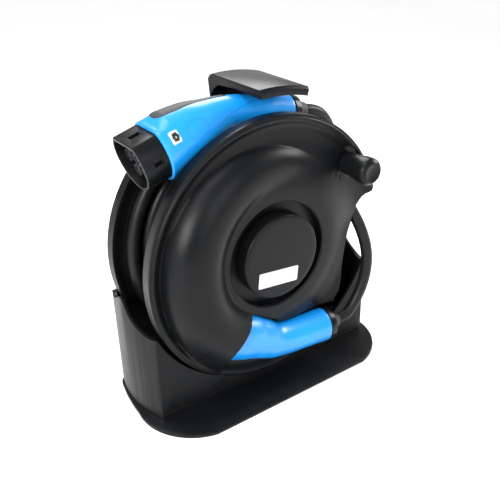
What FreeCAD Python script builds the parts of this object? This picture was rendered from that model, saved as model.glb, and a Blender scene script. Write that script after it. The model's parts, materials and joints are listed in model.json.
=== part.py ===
import FreeCAD, Part
import math
import os
import Sketcher
from FreeCAD import Placement, Rotation, Vector

# Hand-cranked reel of EV charging cable in a moulded floor stand. Millimetres, +Z up.
# The origin is on the floor, under the reel's axis and midway between the two flanges.
# The reel's axis runs along Y; the crank side faces -Y.

os.makedirs("parts", exist_ok=True)
doc = FreeCAD.newDocument("cable_reel")

SIZES = {
    # reel
    "axis_height": 167.5,       # reel axis above the floor
    "rim_radius": 148.0,        # front flange
    "rim_face": -43.0,          # front edge of the front flange
    "rim_skirt": 12.0,          # depth of the turned-back rim
    "skin": 3.0,                # moulded wall of flange and connectors
    "plateau_face": -51.5,      # flange surface round the hub well
    "well_radius": 60.0,        # hub well
    "well_floor": -40.0,
    "cap_radius": 48.3,
    "cap_face": -58.5,
    "screw_circle": 34.0,       # drum screws
    "screw_radius": 2.0,
    "label_width": 51.0,
    "label_height": 17.0,
    "label_drop": -22.0,
    "label_tilt": 6.0,
    "bead_radius": 146.0,       # crest of the rounded bead inside the rim
    "bead_rise": 1.5,
    "gutter_outer": 139.0,      # foot of the bead
    "gutter_inner": 124.0,
    "gutter_drop": 6.0,         # gutter below the rim's front edge
    "pass_radius": 113.0,       # the trough is open behind, outside this radius, where
    "pass_face": -33.5,         # it passes the stored vehicle connector
    "window_edge": 102.0,       # flange is cut away beyond this X
    # drum
    "core_radius": 76.0,
    "core_wall": 2.5,
    "cheek_radius": 133.0,      # rear cheek
    "front_cheek_radius": 119.0,
    "cheek_wall": 2.5,
    "front_cheek": -6.0,        # front face of the front cheek
    "rear_cheek": 38.5,         # front face of the rear cheek
    "hub_radius": 17.0,         # moulded hub round the axle bushes
    "axle_radius": 9.0,
    "bush_wall": 4.0,
    "bush_length": 14.0,
    "run_gap": 0.05,            # running clearance of bushes and spindle, on radius
    "free_gap": 0.6,            # gap between pieces that turn past each other
    # frame
    "disc_radius": 147.0,
    "disc_face": 43.0,
    "disc_wall": 3.0,
    "roll_depth": 12.0,         # width of the rolled rim of the back plate
    "roll_front": 37.5,
    "rib_depth": 3.5,
    "rib_wall": 2.5,
    "rib_ring": 82.0,
    "boss_radius": 26.0,
    "boss_depth": 6.0,
    "nut_radius": 13.0,
    # handle
    "handle_top": 175.5,        # radius of its upper face about the reel axis
    "handle_wall": 9.0,
    "handle_half": 30.0,        # half its width round the rim
    "handle_front": -42.0,
    "handle_foot": 124.0,       # lower end of its foot, from the reel axis
    "handle_lean": 5.5,         # the reel stands turned by this angle, degrees
    # crank
    "crank_radius": 127.0,
    "crank_angle": 37.7,        # degrees above horizontal
    "crank_recess": 17.0,       # radius of that seat
    "crank_seat": -39.0,        # floor of the round seat under the knob
    "spindle_radius": 5.0,
    "spindle_foot": 9.0,        # radius of the plate that holds it behind the seat
    "spindle_foot_wall": 2.5,
    "knob_radius": 12.5,
    "knob_cap_radius": 15.0,
    "knob_base": -41.0,
    "knob_tip": -83.0,
    # cable
    "cable": 13.6,              # diameter
    "wound_radius": 120.5,      # over the neat layers
    "loose_radius": 135.0,      # over the last, loose turn
    # connectors
    "nose_radius": 29.5,
    "nose_flat": 22.5,          # flat of the D above its centre
    "nose_wall": 3.0,
    "nose_length": 54.0,
    "nose_step": 3.5,           # the part inside the grip is this much smaller
    "collar_at": 26.0,          # where the grip starts, behind the nose face
    "grip_wall": 3.0,
    "inlay_rise": 0.45,         # soft strip over the grip's skin
    "inlay_width": 17.0,
    "inlay_start": 38.0,        # behind the nose face
    "inlay_length": 66.0,
    "glue_gap": 0.03,
    "nut_length": 9.0,
    "nut_step": 0.6,            # the nut stands this much proud of the grip
    "relief_length": 14.0,
    # stand
    "wall_face": -34.3,         # front face of the stand's front wall
    "wall": 3.5,
    "crease_half": 142.7,       # half width of the flat front wall
    "wall_bulge": 151.0,        # half width over the curved ends
    "wall_back": 58.0,
    "wall_back_half": 144.0,
    "wall_low": 110.0,          # wall height at the front corners
    "wall_high": 130.0,         # wall height at the back corners
    "front_cut": 152.5,         # radius of the scoop in the front wall
    "back_cut": 112.0,
    "base_front": -82.3,
    "base_front_half": 104.0,
    "base_half": 156.0,
    "base_back": 66.0,
    "base_edge": 3.5,
    "base_rise": 8.0,
    "rib_cut": 136.5,
    "pad_wall": 3.0,
    "pad_width": 30.0,
    "pad_place": 86.0,          # distance of each pad's middle from the reel axis, along X
    "saddle_height": 72.0,      # block under a pad, before it is hollowed
    "foot_radius": 11.0,
    "foot_depth": 1.5,
}

sheet = doc.addObject("Spreadsheet::Sheet", "dim")
for row, (alias, value) in enumerate(SIZES.items(), 1):
    sheet.set("A%d" % row, alias)
    sheet.set("B%d" % row, str(value))
    sheet.setAlias("B%d" % row, alias)
doc.recompute()

pieces = []


def d(alias):
    """One size from the sheet."""
    return float(getattr(sheet, alias))


def number(expression):
    """The value of an expression on the sheet's sizes."""
    return float(sheet.evalExpression(expression))


def on_axis(along=0.0, x=0.0, above=0.0):
    """A point at a distance along the reel's axis, moved sideways and up from it."""
    return Vector(x, along, d("axis_height") + above)


def crank_point(along):
    angle = math.radians(d("crank_angle"))
    r = d("crank_radius")
    return on_axis(along, r * math.cos(angle), r * math.sin(angle))


# ---- sketch based pieces -------------------------------------------------------------

def plane(body, role):
    return [o for o in body.Origin.OriginFeatures if o.Role == role][0]


def outline(body, role, corners, name):
    """A closed outline of straight edges whose corners follow the sheet."""
    sketch = body.newObject("Sketcher::SketchObject", name)
    sketch.AttachmentSupport = [(plane(body, role), "")]
    sketch.MapMode = "FlatFace"
    spots = [(number(a), number(b)) for a, b in corners]
    count = len(corners)
    for i in range(count):
        start, end = Vector(*spots[i], 0), Vector(*spots[(i + 1) % count], 0)
        sketch.addGeometry(Part.LineSegment(start, end))
    for i in range(count):
        sketch.addConstraint(Sketcher.Constraint("Coincident", i, 2, (i + 1) % count, 1))
    for i, (a, b) in enumerate(corners):
        for kind, expression, value in (("DistanceX", a, spots[i][0]), ("DistanceY", b, spots[i][1])):
            index = sketch.addConstraint(Sketcher.Constraint(kind, -1, 1, i, 1, value))
            sketch.setExpression("Constraints[%d]" % index, expression)
    return sketch


def circle(body, role, radius, x="0", y="0", name="circle"):
    sketch = body.newObject("Sketcher::SketchObject", name)
    sketch.AttachmentSupport = [(plane(body, role), "")]
    sketch.MapMode = "FlatFace"
    sketch.addGeometry(Part.Circle(Vector(number(x), number(y), 0), Vector(0, 0, 1), number(radius)))
    for kind, expression in (("DistanceX", x), ("DistanceY", y)):
        index = sketch.addConstraint(Sketcher.Constraint(kind, -1, 1, 0, 3, number(expression)))
        sketch.setExpression("Constraints[%d]" % index, expression)
    index = sketch.addConstraint(Sketcher.Constraint("Radius", 0, number(radius)))
    sketch.setExpression("Constraints[%d]" % index, radius)
    return sketch


def new_body(name):
    body = doc.addObject("PartDesign::Body", name)
    body.Label = name
    pieces.append(body)
    return body


def lay_along_reel(body, at=None):
    """Turn a body's own Z axis along +Y, on the reel's axis or at a given point."""
    turned_back = Rotation(Vector(1, 0, 0), -90)
    body.Placement = Placement(at or on_axis(), turned_back)
    if at is None:
        body.setExpression("Placement.Base.z", "dim.axis_height")
    return body


def turned(name, corners, at=None):
    """A turned piece: corners are (radius, distance along the axis)."""
    body = new_body(name)
    sketch = outline(body, "XZ_Plane", corners, name + "_profile")
    lathe = body.newObject("PartDesign::Revolution", name + "_lathe")
    lathe.Profile = sketch
    lathe.ReferenceAxis = (sketch, ["V_Axis"])
    lathe.Angle = 360
    sketch.Visibility = False
    return lay_along_reel(body, at)


def finish(name, shape):
    """A piece whose shape is worked out with Part's own functions."""
    solids = shape.Solids
    if len(solids) == 1:
        shape = solids[0]
    piece = doc.addObject("Part::Feature", name)
    piece.Shape = shape
    piece.Label = name
    pieces.append(piece)
    return piece


# ---- shapes shared by several pieces -------------------------------------------------

def face_of(points):
    """A flat face inside straight edges through the points."""
    return Part.Face(Part.makePolygon(points + [points[0]]))


def ring_solid(corners):
    """A turned solid about the reel's axis: corners are (radius, along)."""
    face = face_of([on_axis(along, radius) for radius, along in corners])
    return face.revolve(on_axis(), Vector(0, 1, 0), 360)


def rod(start, end, radius, tip=None):
    direction = end - start
    if tip is None:
        return Part.makeCylinder(radius, direction.Length, start, direction)
    return Part.makeCone(radius, tip, direction.Length, start, direction)


def oval(centre, heading, across, upright, flat=None, count=16):
    """A closed smooth section square to its heading; the heading lies in the XZ plane."""
    up = Vector(-heading.z, 0, heading.x)
    side = Vector(0, 1, 0)
    points = []
    for i in range(count):
        turn = 2 * math.pi * i / count
        height = upright * math.sin(turn)
        if flat is not None:
            height = min(height, flat)
        points.append(centre + side * (across * math.cos(turn)) + up * height)
    curve = Part.BSplineCurve()
    curve.interpolate(Points=points, PeriodicFlag=True)
    return Part.Wire([curve.toShape()])


def loft(wires):
    return Part.makeLoft(wires, True, False)


def heading(degrees):
    angle = math.radians(degrees)
    return Vector(math.cos(angle), 0, math.sin(angle))


# ---- stand ---------------------------------------------------------------------------

def plan_wire(front, front_half, bulge, middle, back, back_half, z):
    """Plan of the stand: straight front and back joined by bowed ends."""
    a, b = Vector(-front_half, front, z), Vector(front_half, front, z)
    c, e = Vector(back_half, back, z), Vector(-back_half, back, z)
    right = Part.Arc(b, Vector(bulge, middle, z), c).toShape()
    left = Part.Arc(e, Vector(-bulge, middle, z), a).toShape()
    return Part.Wire([Part.makeLine(a, b), right, Part.makeLine(c, e), left])


def stand_walls(inset):
    """The solid inside the stand's wall line, moved in by inset."""
    middle = (d("wall_face") + d("wall_back")) / 2
    wires = []
    for z in (d("base_edge"), d("wall_high") + 10):
        wires.append(plan_wire(d("wall_face") + inset, d("crease_half") - inset, d("wall_bulge") - inset,
                               middle, d("wall_back") - inset, d("wall_back_half") - inset, z))
    return Part.makeLoft(wires, True, True)


def base_plan(z, shrink=0.0):
    """Plan of the base: wide rounded front lip, tucked in at the back."""
    front, half, back = d("base_front") + shrink, d("base_front_half"), d("base_back") - shrink
    wide = d("base_half") - shrink
    a, b = Vector(-half, front, z), Vector(half, front, z)
    side = Vector(wide, (front + back) * 0.18, z)
    corner = Vector(half + (wide - half) * 0.72, front + (side.y - front) * 0.29, z)
    rear = Vector(d("wall_back_half") + 4 - shrink, back - 14, z)
    rear_in = Vector(rear.x - 16, back, z)
    edges = [Part.makeLine(a, b), Part.Arc(b, corner, side).toShape()]
    flank = Vector((side.x + rear.x) / 2 + 1.5, (side.y + rear.y) / 2, z)
    edges.append(Part.Arc(side, flank, rear).toShape())
    turn = Vector(rear.x - 4.5, back - 4.5, z)
    edges.append(Part.Arc(rear, turn, rear_in).toShape())
    edges.append(Part.makeLine(rear_in, Vector(-rear_in.x, back, z)))
    edges.append(Part.Arc(Vector(-rear_in.x, back, z), Vector(-turn.x, turn.y, z),
                          Vector(-rear.x, rear.y, z)).toShape())
    edges.append(Part.Arc(Vector(-rear.x, rear.y, z), Vector(-flank.x, flank.y, z),
                          Vector(-side.x, side.y, z)).toShape())
    edges.append(Part.Arc(Vector(-side.x, side.y, z), Vector(-corner.x, corner.y, z), a).toShape())
    return Part.Wire(edges)


def above_wall_top():
    """Everything over the stand's swept upper edge."""
    front, back = d("wall_face") - 5, d("wall_back") + 5
    low, high = d("wall_low"), d("wall_high")
    side = -d("wall_bulge") - 20
    sweep = [(front, low), (-6, low + 2), (8, low + 11), (22, low + 25), (38, high - 3), (back, high)]
    curve = Part.BSplineCurve()
    curve.interpolate([Vector(side, y, z) for y, z in sweep])
    top = high + 40
    edges = [curve.toShape(), Part.makeLine(Vector(side, back, high), Vector(side, back, top)),
             Part.makeLine(Vector(side, back, top), Vector(side, front, top)),
             Part.makeLine(Vector(side, front, top), Vector(side, front, low))]
    return Part.Face(Part.Wire(edges)).extrude(Vector(-2 * side, 0, 0))


def stand_shell():
    wall = d("wall")
    deep = d("base_edge")
    slab = Part.Face(base_plan(0)).extrude(Vector(0, 0, deep))
    rise = 0.35 * (d("wall_face") - d("base_front"))
    slope = Part.makeLoft([base_plan(deep), base_plan(deep + 2.5, rise)], True, True)
    shell = stand_walls(0).cut(stand_walls(wall))
    shell = shell.cut(above_wall_top())
    middle = (d("wall_face") + d("wall_back")) / 2
    front_scoop = rod(on_axis(d("wall_face") - 10), on_axis(middle - 20), d("front_cut"))
    back_scoop = rod(on_axis(middle + 20), on_axis(d("wall_back") + 10), d("back_cut"))
    shell = shell.cut(front_scoop).cut(back_scoop)
    inside = stand_walls(wall / 2)
    # cross rib in front of the back plate's slot, and two saddles under its rim
    rib_front = d("roll_front") - d("free_gap") - d("wall")
    rib = Part.makeBox(400, wall, d("wall_low"), Vector(-200, rib_front, deep - 1))
    rib = rib.cut(rod(on_axis(rib_front - 5), on_axis(rib_front + 15), d("rib_cut"))).common(inside)
    shell = shell.fuse([slab, slope, rib])
    roll = d("roll_front"), d("roll_front") + d("roll_depth")
    clear = d("free_gap")
    shell = shell.cut(rod(on_axis(roll[0] - clear), on_axis(roll[1] + clear), d("disc_radius") + clear))
    for side in (-1, 1):
        shell = shell.fuse(saddle(side, 0).common(inside))
    for x, y in foot_spots():
        shell = shell.cut(rod(Vector(x, y, -1), Vector(x, y, d("foot_depth")), d("foot_radius")))
    return shell.removeSplitter()


def saddle(side, lift):
    """Block under the back plate's rim, hollowed to the pad's outer radius."""
    radius = d("disc_radius") + d("free_gap") + d("pad_wall")
    front = d("roll_front") - d("free_gap") - 0.5
    deep = d("roll_depth") + 3.0
    width = d("pad_width") + 4
    block = Part.makeBox(width, deep, d("saddle_height"),
                         Vector(side * d("pad_place") - width / 2, front, d("base_edge") - 1))
    return block.cut(rod(on_axis(front - 5), on_axis(front + deep + 5), radius - lift))


def cradle_pads():
    inner = d("disc_radius") + 0.3
    outer = d("disc_radius") + d("free_gap") + d("pad_wall")
    front, back = d("roll_front") - 0.2, d("roll_front") + d("roll_depth") + 0.2
    band = ring_solid([(inner, front), (outer, front), (outer, back), (inner, back)])
    pads = []
    for side in (-1, 1):
        width = d("pad_width")
        block = Part.makeBox(width, 40, 80, Vector(side * d("pad_place") - width / 2, front - 5, d("base_edge")))
        pads.append(band.common(block))
    return Part.makeCompound(pads)


def foot_spots():
    return [(-108, -58), (108, -58), (-112, 45), (112, 45)]


def stand_feet():
    depth = d("foot_depth")
    return Part.makeCompound([rod(Vector(x, y, 0), Vector(x, y, depth), d("foot_radius"))
                              for x, y in foot_spots()])


finish("stand_shell", stand_shell())
finish("stand_feet", stand_feet())
finish("cradle_pads", cradle_pads())

# ---- drum: front flange with its holster ----------------------------------------------

# the holster swells anticlockwise from nothing to its open mouth: angle about the axis in
# degrees, radius of its middle, half its width along the radius, rise of its crest
HOLSTER = [
    (78, 92.0, 20.0, -49.0),
    (100, 94.0, 27.0, -54.0),
    (125, 96.0, 31.0, -59.0),
    (155, 97.5, 33.5, -64.0),
    (185, 98.5, 35.0, -68.5),
    (210, 101.5, 36.5, -73.5),
    (235, 105.0, 37.5, -76.0),
]


def holster_section(angle, radius, half, crest, shrink):
    """A rounded arch square to the spiral: flat towards the drum, domed to the front."""
    turn = math.radians(angle)
    out = Vector(math.cos(turn), 0, math.sin(turn))
    foot = d("front_cheek") - 4 - shrink
    half, top = half - shrink, crest + shrink
    points = []
    for i in range(12):
        a = 2 * math.pi * i / 12
        depth = foot + (top - foot) * (0.5 + 0.5 * math.sin(a))
        points.append(on_axis() + out * (radius + half * math.cos(a)) + Vector(0, depth, 0))
    curve = Part.BSplineCurve()
    curve.interpolate(Points=points, PeriodicFlag=True)
    return Part.Wire([curve.toShape()])


def holster(shrink):
    return loft([holster_section(*row, shrink) for row in HOLSTER])


def dish(lift):
    """Profile of the flange skin, moved back by lift: radius, along."""
    rim, face = d("rim_radius"), d("rim_face")
    gutter = face + d("gutter_drop") + lift
    rows = [(d("well_radius") + lift, d("plateau_face") + lift),
            (d("well_radius") + 10, d("plateau_face") + lift),
            (d("gutter_inner"), gutter - 1.5),
            (d("gutter_outer") - 1, gutter)]
    if lift:
        return rows + [(d("bead_radius") - lift, face + lift)]
    return rows + [(d("gutter_outer") + 3, face - d("bead_rise") + 1),
                   (d("bead_radius"), face - d("bead_rise")), (rim, face)]


def flange_skin():
    skin, rim = d("skin"), d("rim_radius")
    back = d("rim_face") + d("rim_skirt")
    floor = d("well_floor")
    front = dish(0)
    rear = dish(skin)
    corners = [(d("hub_radius") + 0.2, floor), (d("well_radius"), floor)] + front
    corners += [(rim, back), (rim - skin, back)] + rear[::-1]
    corners += [(d("well_radius") + skin, floor + skin), (d("hub_radius") + 0.2, floor + skin)]
    return ring_solid(corners)


def flange_window():
    """The cut-away on the right, where the supply cable passes."""
    edge, far = d("window_edge"), d("rim_radius") + 30
    spots = [(edge + 8, -118), (edge + 1, -106), (edge, -34), (edge + 4, -10), (edge + 19, 19),
             (edge + 31, 29), (far, 65), (far, -118)]
    front = d("cap_face")
    face = face_of([on_axis(front, x, z) for x, z in spots])
    return face.extrude(Vector(0, d("front_cheek") - 0.5 - front, 0))


# ---- connectors: one grip shape, laid out along its own X from the nose face ------------

# distance behind the nose face, height of the centre, half width, half height, heading
GRIP = [
    (26.0, 0.0, 32.5, 32.5, 0),
    (31.0, 0.0, 32.2, 32.2, 0),
    (45.0, -0.6, 30.5, 31.0, 0),
    (70.0, -2.4, 27.5, 29.0, -1),
    (90.0, -3.4, 22.5, 23.5, -4),
    (107.0, -3.8, 18.2, 18.2, -12),
    (126.0, -10.2, 16.6, 16.8, -24),
    (155.0, -24.4, 16.2, 16.2, -27),
    (180.0, -37.2, 16.4, 16.4, -27),
]
FLAT_AT_COLLAR = 26.5


def tail_swell(x, extra):
    """How much thicker the grip's cable end is made, growing over the neck."""
    return extra * min(1.0, max(0.0, (x - 75) / 30))


def grip_solid(wall, extra=0.0, flat=True):
    """The grip's outer skin, moved in by wall; extra thickens its cable end."""
    wires = []
    for x, z, across, upright, turn in GRIP:
        swell = tail_swell(x, extra) - wall
        top = FLAT_AT_COLLAR - wall if flat and x < 40 else None
        wires.append(oval(Vector(x, 0, z), heading(turn), across + swell, upright + swell, top))
    return loft(wires)


def nose_face(radius, flat):
    """The D of the nose, square to X."""
    half = math.sqrt(radius * radius - flat * flat)
    a, b = Vector(0, half, flat), Vector(0, -half, flat)
    arc = Part.Arc(b, Vector(0, 0, -radius), a).toShape()
    return Part.Face(Part.Wire([arc, Part.makeLine(a, b)]))


def nose_shell():
    """Open D-shaped shell whose narrower rear end is held inside the grip."""
    wall, radius, flat = d("nose_wall"), d("nose_radius"), d("nose_flat")
    step, length, less = d("collar_at") + 5, d("nose_length"), d("nose_step")
    outer = nose_face(radius, flat).extrude(Vector(step, 0, 0))
    outer = outer.makeFillet(1.0, [e for e in outer.Edges if e.BoundBox.XMax < 0.1])
    spigot = nose_face(radius - less, flat - less).extrude(Vector(length - step + 1, 0, 0))
    spigot.translate(Vector(step - 1, 0, 0))
    hollow = nose_face(radius - wall, flat - wall).extrude(Vector(step - wall, 0, 0))
    rear = nose_face(radius - less - wall, flat - less - wall).extrude(Vector(length, 0, 0))
    shell = outer.fuse(spigot).cut(hollow).cut(rear)
    top_slot = Part.makeBox(11, 7, wall + 4, Vector(8, -3.5, flat - wall - 1))
    side_slot = Part.makeBox(10, wall + 4, 6, Vector(11, -radius - 1, -1))
    other = Part.makeBox(10, wall + 4, 6, Vector(11, radius - wall - 3, -1))
    return shell.cut(top_slot).cut(side_slot).cut(other)


SLEEVES = [(-8.7, 12.0, 3.6), (8.7, 12.0, 3.6), (-17.4, 0.0, 4.8), (0.0, 0.0, 4.8),
           (17.4, 0.0, 4.8), (-8.7, -14.0, 4.8), (8.7, -14.0, 4.8)]


def contact_block():
    """Insulating base with a raised tower round each contact."""
    radius, flat, wall = d("nose_radius"), d("nose_flat"), d("nose_wall") + 0.2
    start, step, end = 20.0, d("collar_at") + 5 - wall, d("nose_length") - 0.5
    block = nose_face(radius - wall, flat - wall).extrude(Vector(step - start, 0, 0))
    block.translate(Vector(start, 0, 0))
    less = wall + d("nose_step")
    rear = nose_face(radius - less, flat - less).extrude(Vector(end - step + 1, 0, 0))
    rear.translate(Vector(step - 1, 0, 0))
    block = block.fuse(rear)
    for y, z, r in SLEEVES:
        block = block.fuse(rod(Vector(7, y, z), Vector(start + 1, y, z), r + 1.6))
    for y, z, r in SLEEVES:
        block = block.cut(rod(Vector(6, y, z), Vector(34, y, z), r))
    return block


def contacts(pin):
    """Sleeves of the vehicle side, or pins of the supply side, as separate solids."""
    made = []
    for y, z, r in SLEEVES:
        outside = rod(Vector(9.0, y, z), Vector(34, y, z), r)
        if pin:
            made.append(outside)
        else:
            made.append(outside.cut(rod(Vector(8, y, z), Vector(30, y, z), r - 1.3)))
    return Part.makeCompound(made)


def grip_half(side, extra):
    """One moulded half of the grip, split down the middle plane."""
    wall = d("grip_wall")
    shell = grip_solid(0, extra).cut(grip_solid(wall, extra))
    nose = d("nose_radius") + 0.2
    shell = shell.cut(rod(Vector(0, 0, 0), Vector(d("collar_at") + 5.2, 0, 0), nose))
    keep = Part.makeBox(400, 60, 300, Vector(-100, 0.05 if side > 0 else -60.05, -150))
    shell = shell.common(keep)
    inside = grip_solid(0.5, extra)
    for x, z in GRIP_SCREWS:
        boss = rod(Vector(x, 0.05 * side, z), Vector(x, 40 * side, z), 3.6)
        hole = rod(Vector(x, -40 * side, z), Vector(x, side * 8.6, z), 1.5)
        shell = shell.fuse(boss.common(inside)).cut(hole)
    return shell


GRIP_SCREWS = [(62.0, -20.0), (64.0, 19.0), (100.0, -4.0)]


def grip_screws():
    made = []
    for x, z in GRIP_SCREWS:
        made.append(rod(Vector(x, -8, z), Vector(x, 8, z), 1.45))
    return Part.makeCompound(made)


def tail_point(extra, along):
    """A point on the line of the cable end, past the end of the grip."""
    x, z, across, upright, turn = GRIP[-1]
    return Vector(x, 0, z) + heading(turn) * along


def gland_nut(extra, size):
    """Union nut screwed on the cable end of the grip."""
    radius = GRIP[-1][2] + extra + d("nut_step")
    inner = (d("cable") / 2 + 0.3) / size
    ring = rod(tail_point(extra, 0.1), tail_point(extra, d("nut_length")), radius, radius - 1.5)
    return ring.cut(rod(tail_point(extra, -1), tail_point(extra, d("nut_length") + 1), inner))


def strain_relief(extra, size):
    """Tapered collar round the cable behind the nut."""
    start, end = d("nut_length") + 0.1, d("nut_length") + d("relief_length")
    inner = (d("cable") / 2 + 0.1) / size
    cone = rod(tail_point(extra, start), tail_point(extra, end), inner + 4.0, inner + 1.4)
    return cone.cut(rod(tail_point(extra, start - 1), tail_point(extra, end + 1), inner))


def cable_exit(placement, extra, size):
    """Where the cable leaves a connector's relief, and its direction there."""
    near = placement.multVec(tail_point(extra, d("nut_length")) * size)
    far = placement.multVec(tail_point(extra, d("nut_length") + d("relief_length") + 0.4) * size)
    return far, (far - near).normalize()


def strip_zone(margin):
    """The part of the grip's top that the soft strip covers."""
    width = d("inlay_width") + 2 * margin
    return Part.makeBox(d("inlay_length") + 2 * margin, width, 60,
                        Vector(d("inlay_start") - margin, -width / 2, 0))


def inlay(extra):
    """Soft strip along the top of the grip."""
    band = grip_solid(-d("inlay_rise"), extra).cut(grip_solid(-d("glue_gap"), extra))
    return band.common(strip_zone(0))


def connector_envelope(extra, grow):
    """Everything a stored connector fills, grown by a clearance."""
    body = grip_solid(-grow, extra, flat=False)
    nose = rod(Vector(-grow, 0, 0), Vector(60, 0, 0), d("nose_radius") + grow)
    nut = rod(tail_point(extra, -5), tail_point(extra, 70), GRIP[-1][2] + extra + d("nut_step") + grow)
    return body.fuse([nose, nut])


def place(shape, placement, size=1.0):
    moved = shape.copy() if size == 1.0 else shape.scaled(size)
    moved.Placement = placement.multiply(moved.Placement)
    return moved


SUPPLY_EXTRA = 5.4      # the supply grip is this much thicker at its cable end
SUPPLY_GAP = 1.5        # room round the stored connector
SUPPLY_SIZE = 0.9       # supply connector against the vehicle connector
VEHICLE_AT = Placement(Vector(-133.0, 0, d("axis_height") + 118.1), Rotation(Vector(0, 1, 0), -17))
SUPPLY_AT = Placement(Vector(-90.5, -40.0, d("axis_height") - 62.6), Rotation(-3.4, 30.0, 180.0))


def connector(prefix, placement, extra, pin, size):
    """All pieces of one connector, placed."""
    shapes = {
        "nose": nose_shell(),
        "contact_block": contact_block(),
        "contacts": contacts(pin),
        "grip_left": grip_half(-1, extra),
        "grip_right": grip_half(1, extra),
        "grip_screws": grip_screws(),
        "grip_inlay": inlay(extra),
        "gland_nut": gland_nut(extra, size),
        "strain_relief": strain_relief(extra, size),
    }
    for name, shape in shapes.items():
        finish(prefix + "_" + name, place(shape, placement, size))


connector("vehicle", VEHICLE_AT, 0.0, False, 1.0)
connector("supply", SUPPLY_AT, SUPPLY_EXTRA, True, SUPPLY_SIZE)


# ---- front flange ----------------------------------------------------------------------

def front_flange():
    """Dished skin with the holster, the supply connector's trough and the crank's seat."""
    skin, seat, recess = d("skin"), d("crank_seat"), d("crank_recess")
    cheek = d("front_cheek") - 1.0
    gutter = d("rim_face") + d("gutter_drop")
    window = flange_window()
    shell = flange_skin().cut(window)
    shell = shell.fuse(rod(crank_point(seat + 0.3), crank_point(seat + skin), recess + 2))
    shell = shell.cut(rod(crank_point(seat - 40), crank_point(seat + 0.3), recess))
    shell = shell.cut(rod(crank_point(seat - 1), crank_point(seat + skin + 1), d("spindle_radius")))
    shell = shell.cut(rod(crank_point(seat + skin), crank_point(seat + 3 * skin), d("spindle_foot") + 0.3))
    for spot in drum_screw_spots(0):
        shell = shell.cut(rod(spot + Vector(0, d("well_floor") - 1, 0),
                              spot + Vector(0, d("well_floor") + skin + 1, 0), d("screw_radius")))
    outer = holster(0)
    behind = ring_solid([(d("well_radius") + 4, d("plateau_face") + 1), (d("gutter_inner"), gutter),
                         (d("rim_radius") - 0.5, gutter), (d("rim_radius") - 0.5, cheek),
                         (d("well_radius") + 4, cheek)]).cut(window)
    room = place(connector_envelope(SUPPLY_EXTRA, SUPPLY_GAP), SUPPLY_AT, SUPPLY_SIZE)
    trough = place(connector_envelope(SUPPLY_EXTRA, SUPPLY_GAP + skin), SUPPLY_AT, SUPPLY_SIZE)
    swept = ring_solid([(d("pass_radius"), d("pass_face")), (d("rim_radius") + 5, d("pass_face")),
                        (d("rim_radius") + 5, 0), (d("pass_radius"), 0)])
    strip_room = grip_solid(-d("inlay_rise") - d("free_gap"), SUPPLY_EXTRA).common(strip_zone(d("free_gap")))
    strip_room = place(strip_room, SUPPLY_AT, SUPPLY_SIZE)
    trough = trough.common(behind).cut(room).cut(outer).cut(swept)
    shell = shell.fuse(outer).cut(holster(skin)).cut(room).fuse(trough).cut(strip_room)
    return max(shell.Solids, key=lambda solid: solid.Volume)


def drum_screw_spots(along):
    """Centres of the four screws that clamp the flange to the core."""
    spots = []
    for i in range(4):
        angle = math.radians(45 + 90 * i)
        r = d("screw_circle")
        spots.append(on_axis(along, r * math.cos(angle), r * math.sin(angle)))
    return spots


finish("front_flange", front_flange())


# ---- drum: core, cheeks, bushes and cap -------------------------------------------------

def drum_core():
    """Winding barrel with a web, a hub for the bushes and four screw posts."""
    hub = "dim.axle_radius + dim.bush_wall"
    tube = "dim.core_radius - dim.core_wall"
    front = "dim.front_cheek + dim.cheek_wall"
    web = "dim.rear_cheek - 24"
    body = turned("drum_core", [
        (hub, "dim.well_floor"), ("dim.hub_radius", "dim.well_floor"), ("dim.hub_radius", web),
        (tube, web), (tube, front), ("dim.core_radius", front), ("dim.core_radius", "dim.rear_cheek"),
        (tube, "dim.rear_cheek"), (tube, web + " + 3"), ("dim.hub_radius", web + " + 3"),
        ("dim.hub_radius", "dim.rear_cheek"), (hub, "dim.rear_cheek")])
    across = "dim.screw_circle * cos(45)"
    base = "dim.well_floor + dim.skin"
    for kind, radius in (("Pad", "dim.screw_radius + 2.5"), ("Pocket", "dim.screw_radius")):
        sketch = circle(body, "XY_Plane", radius, across, across, "post_" + kind.lower())
        sketch.AttachmentOffset = Placement(Vector(0, 0, number(base)), Rotation())
        sketch.setExpression("AttachmentOffset.Base.z", base)
        feature = body.newObject("PartDesign::" + kind, "post_" + kind)
        feature.Profile = sketch
        if kind == "Pad":
            feature.Length = number(web + " - (" + base + ")")
            feature.setExpression("Length", web + " - (" + base + ")")
        else:
            feature.Length = 24
            feature.Reversed = True
        ring = body.newObject("PartDesign::PolarPattern", "posts_" + kind)
        ring.Originals = [feature]
        ring.Axis = (sketch, ["N_Axis"])
        ring.Angle = 360
        ring.Occurrences = 4
        body.Tip = ring
    return body


drum_core()
turned("drum_front_cheek", [
    ("dim.core_radius - dim.core_wall", "dim.front_cheek"),
    ("dim.front_cheek_radius", "dim.front_cheek"),
    ("dim.front_cheek_radius", "dim.front_cheek + dim.cheek_wall"),
    ("dim.core_radius - dim.core_wall", "dim.front_cheek + dim.cheek_wall")])
turned("drum_rear_cheek", [
    ("dim.hub_radius + 2", "dim.rear_cheek"), ("dim.cheek_radius", "dim.rear_cheek"),
    ("dim.cheek_radius", "dim.rear_cheek + dim.cheek_wall"),
    ("dim.hub_radius + 2", "dim.rear_cheek + dim.cheek_wall")])

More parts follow.
